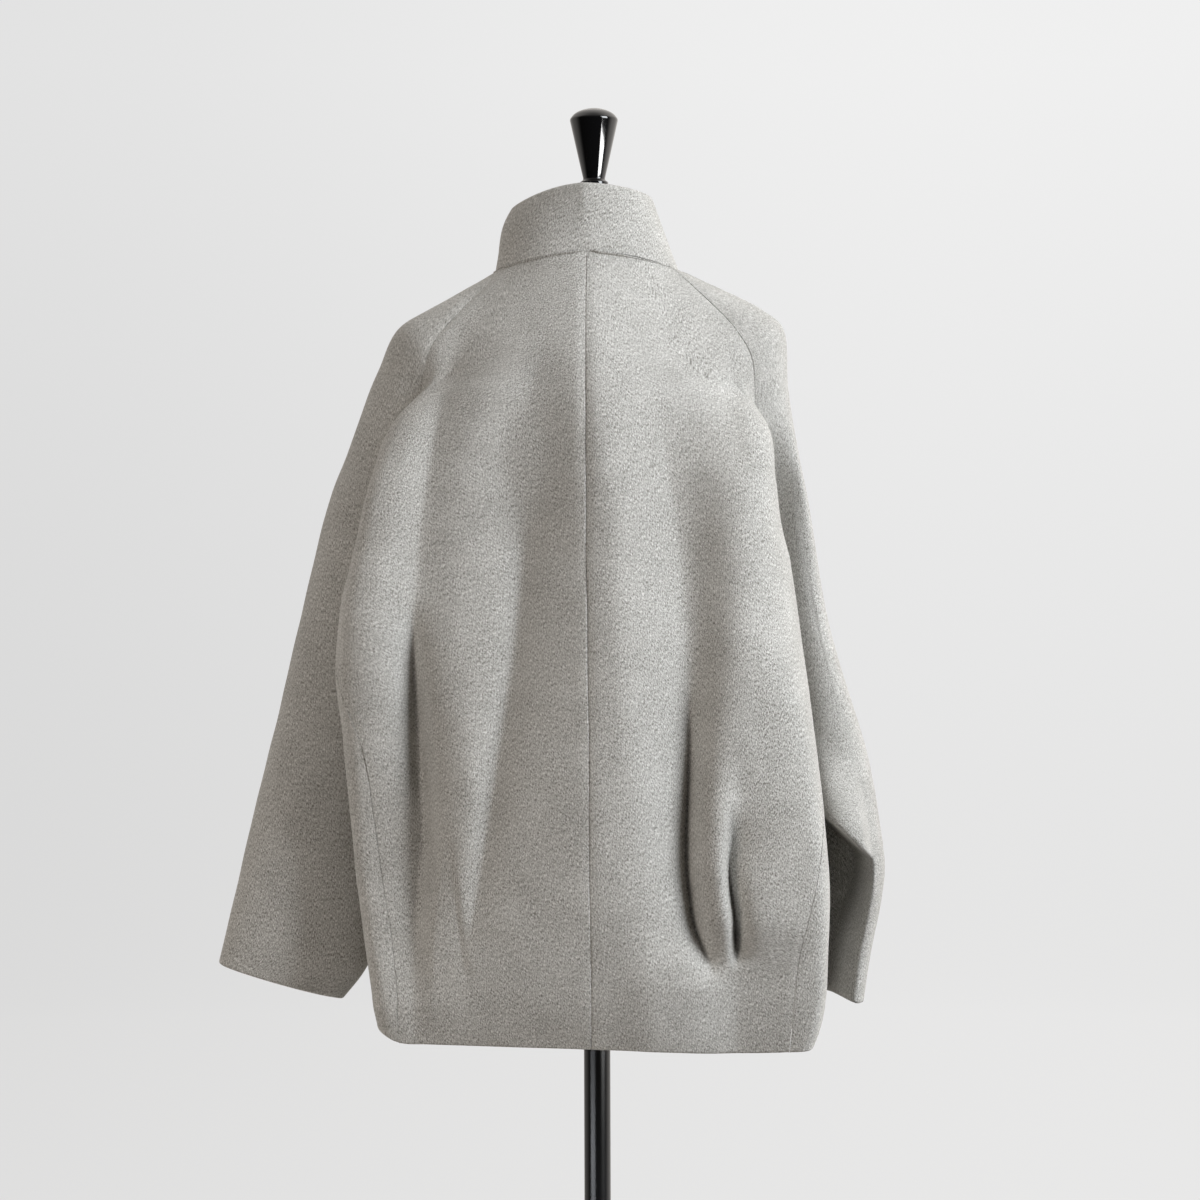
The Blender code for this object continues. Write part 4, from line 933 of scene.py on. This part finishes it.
# Stage: one sweep of grey paper, flat under the foot and rising on all sides to a wall. It looks pale
# through a weak glow of its own, which is painted light standing in for the window's light on the paper:
# brighter towards the window on the right of the camera and a little brighter up the wall. It throws no light
# on the cloth, as if it stood far away.
stage = {
    "middle": 0.3, "flat": 5.2, "bend": 2.2, "high": 6.0, "steps": 96, "colour": "#4c4c4c",
    "glow": (0.71, 0.815), "glowX": (2.4, -1.2),        # from the left to the right of the camera
    "fade": (0.91, 1.05), "fadeZ": (0.0, 2.8),          # from the floor up the wall
}
paper, paperTree, paperShader = newMaterial("paper_sweep_painted_glow", {
    "Base Color": linear(stage["colour"]), "Roughness": 0.9, "Specular IOR Level": 0.1,
    "Emission Color": linear("#ffffff"),
})
paperPlace = addNode(paperTree, "ShaderNodeSeparateXYZ", {
    0: addNode(paperTree, "ShaderNodeTexCoord").outputs["Object"],
})
# painted light: the emission strength of the paper, brighter towards the window side and a little brighter up
# the wall
paperPaintedLightAcross = ranged(paperTree, paperPlace.outputs["X"], stage["glowX"], stage["glow"], "SMOOTHSTEP")
paperPaintedLightUp = ranged(paperTree, paperPlace.outputs["Z"], stage["fadeZ"], stage["fade"])
paperPaintedLight = addNode(paperTree, "ShaderNodeMath", {0: paperPaintedLightAcross, 1: paperPaintedLightUp}, operation="MULTIPLY")
paperTree.links.new(paperPaintedLight.outputs[0], paperShader.inputs["Emission Strength"])
bend = np.linspace(0.0, math.pi / 2, 24)[1:]
sweepR = np.concatenate([[stage["middle"], stage["flat"]], stage["flat"] + stage["bend"] * np.sin(bend)])
sweepR = np.append(sweepR, sweepR[-1])
sweepZ = np.concatenate([[0.0, 0.0], stage["bend"] * (1.0 - np.cos(bend)), [stage["high"]]])
rings, quads, index, after = spun(np.stack([sweepR, sweepZ], axis=1), stage["steps"])
fan = np.stack([np.full(stage["steps"], len(rings)), index[0], after[0]], axis=1)
sweep = makeMesh("paper_sweep", np.concatenate([rings, [[0.0, 0.0, 0.0]]]), quads, None, paper, fan)
sweep.visible_diffuse = False
sweep.visible_glossy = False

# Light: a tall soft window to the right of the camera, a low warm bounce from the left, and the foot of
# the window and a strip of floor, which show only in gloss
lamps = {
    "soft_window": {
        "place": (-2.20, 1.60, 2.30), "aim": (0.0, 0.05, 1.15), "size": (1.4, 2.2), "watts": 111.0,
        "colour": "#f7fbff", "onCloth": True, "inGloss": True},
    "floor_bounce": {
        "place": (1.90, 2.00, 0.35), "aim": (0.0, 0.0, 0.95), "size": (1.0, 0.7), "watts": 25.5,
        "colour": "#fff7ef", "onCloth": True, "inGloss": False},
    "low_window": {
        "place": (-2.15, 1.55, 0.76), "aim": (0.0, 0.0, 1.49), "size": (1.4, 0.28), "watts": 26.0,
        "colour": "#ffffff", "onCloth": False, "inGloss": True},
    "floor_strip": {
        "place": (1.73, 2.14, 0.12), "aim": (0.0, 0.0, 0.58), "size": (1.9, 0.24), "watts": 13.0,
        "colour": "#f4f8ff", "onCloth": False, "inGloss": True},
}
# Room: a wall behind the form that is brighter towards the window, a pale ceiling and a dim side where
# the camera stands. The wall's pair is for left and right, the others say where a change starts and ends.
room = {
    "colour": "#fffaf5", "camera": 0.02, "wall": (0.55, 1.10), "ceiling": 0.26,
    "wallX": (0.8, -0.8), "wallY": (0.35, -0.25), "ceilingZ": (0.35, 0.95),
}


def aim(obj, place, target, roll=0.0):  # its -Z along the line to the target, turned about it by the roll
    obj.location = place
    toward = Vector(target) - Vector(place)
    obj.rotation_mode = "QUATERNION"
    obj.rotation_quaternion = toward.to_track_quat("-Z", "Y") @ Matrix.Rotation(roll, 3, "Z").to_quaternion()


for name, lamp in lamps.items():
    glow = bpy.data.lights.new(name, "AREA")
    glow.shape = "RECTANGLE"
    glow.size, glow.size_y = lamp["size"]
    glow.energy = lamp["watts"]
    glow.color = linear(lamp["colour"])[:3]
    glowObject = bpy.data.objects.new(name, glow)
    bpy.context.scene.collection.objects.link(glowObject)
    glowObject.visible_diffuse = lamp["onCloth"]
    glowObject.visible_glossy = lamp["inGloss"]
    aim(glowObject, lamp["place"], lamp["aim"])

world = bpy.data.worlds.new("studio")
world.use_nodes = True
sky = world.node_tree
ways = addNode(sky, "ShaderNodeSeparateXYZ", {0: addNode(sky, "ShaderNodeTexCoord").outputs["Generated"]})
wallGlow = ranged(sky, ways.outputs["X"], room["wallX"], room["wall"], "SMOOTHSTEP")
wallPart = ranged(sky, ways.outputs["Y"], room["wallY"], (room["camera"], wallGlow), "SMOOTHSTEP")
ceilingPart = ranged(sky, ways.outputs["Z"], room["ceilingZ"], (0.0, room["ceiling"]), "SMOOTHSTEP")
strength = addNode(sky, "ShaderNodeMath", {0: wallPart, 1: ceilingPart}, operation="ADD")
sky.nodes["Background"].inputs["Color"].default_value = linear(room["colour"])
sky.links.new(strength.outputs[0], sky.nodes["Background"].inputs["Strength"])
bpy.context.scene.world = world
bpy.context.scene.view_settings.view_transform = "Standard"

# Camera: square on to the back, three metres away, level but for a slight roll
view = {
    "target": (-0.0042, 0.0, 1.06), "away": 3.0, "roll": -0.2,
    "sensor": 36.0, "focalPixels": 3168.0, "framePixels": 1200.0,
}
camera = bpy.data.cameras.new("camera")
camera.lens = view["sensor"] * view["focalPixels"] / view["framePixels"]
camera.sensor_width = view["sensor"]
cameraObject = bpy.data.objects.new("camera", camera)
bpy.context.scene.collection.objects.link(cameraObject)
place = (view["target"][0], view["away"], view["target"][2])
aim(cameraObject, place, view["target"], math.radians(view["roll"]))
bpy.context.scene.camera = cameraObject
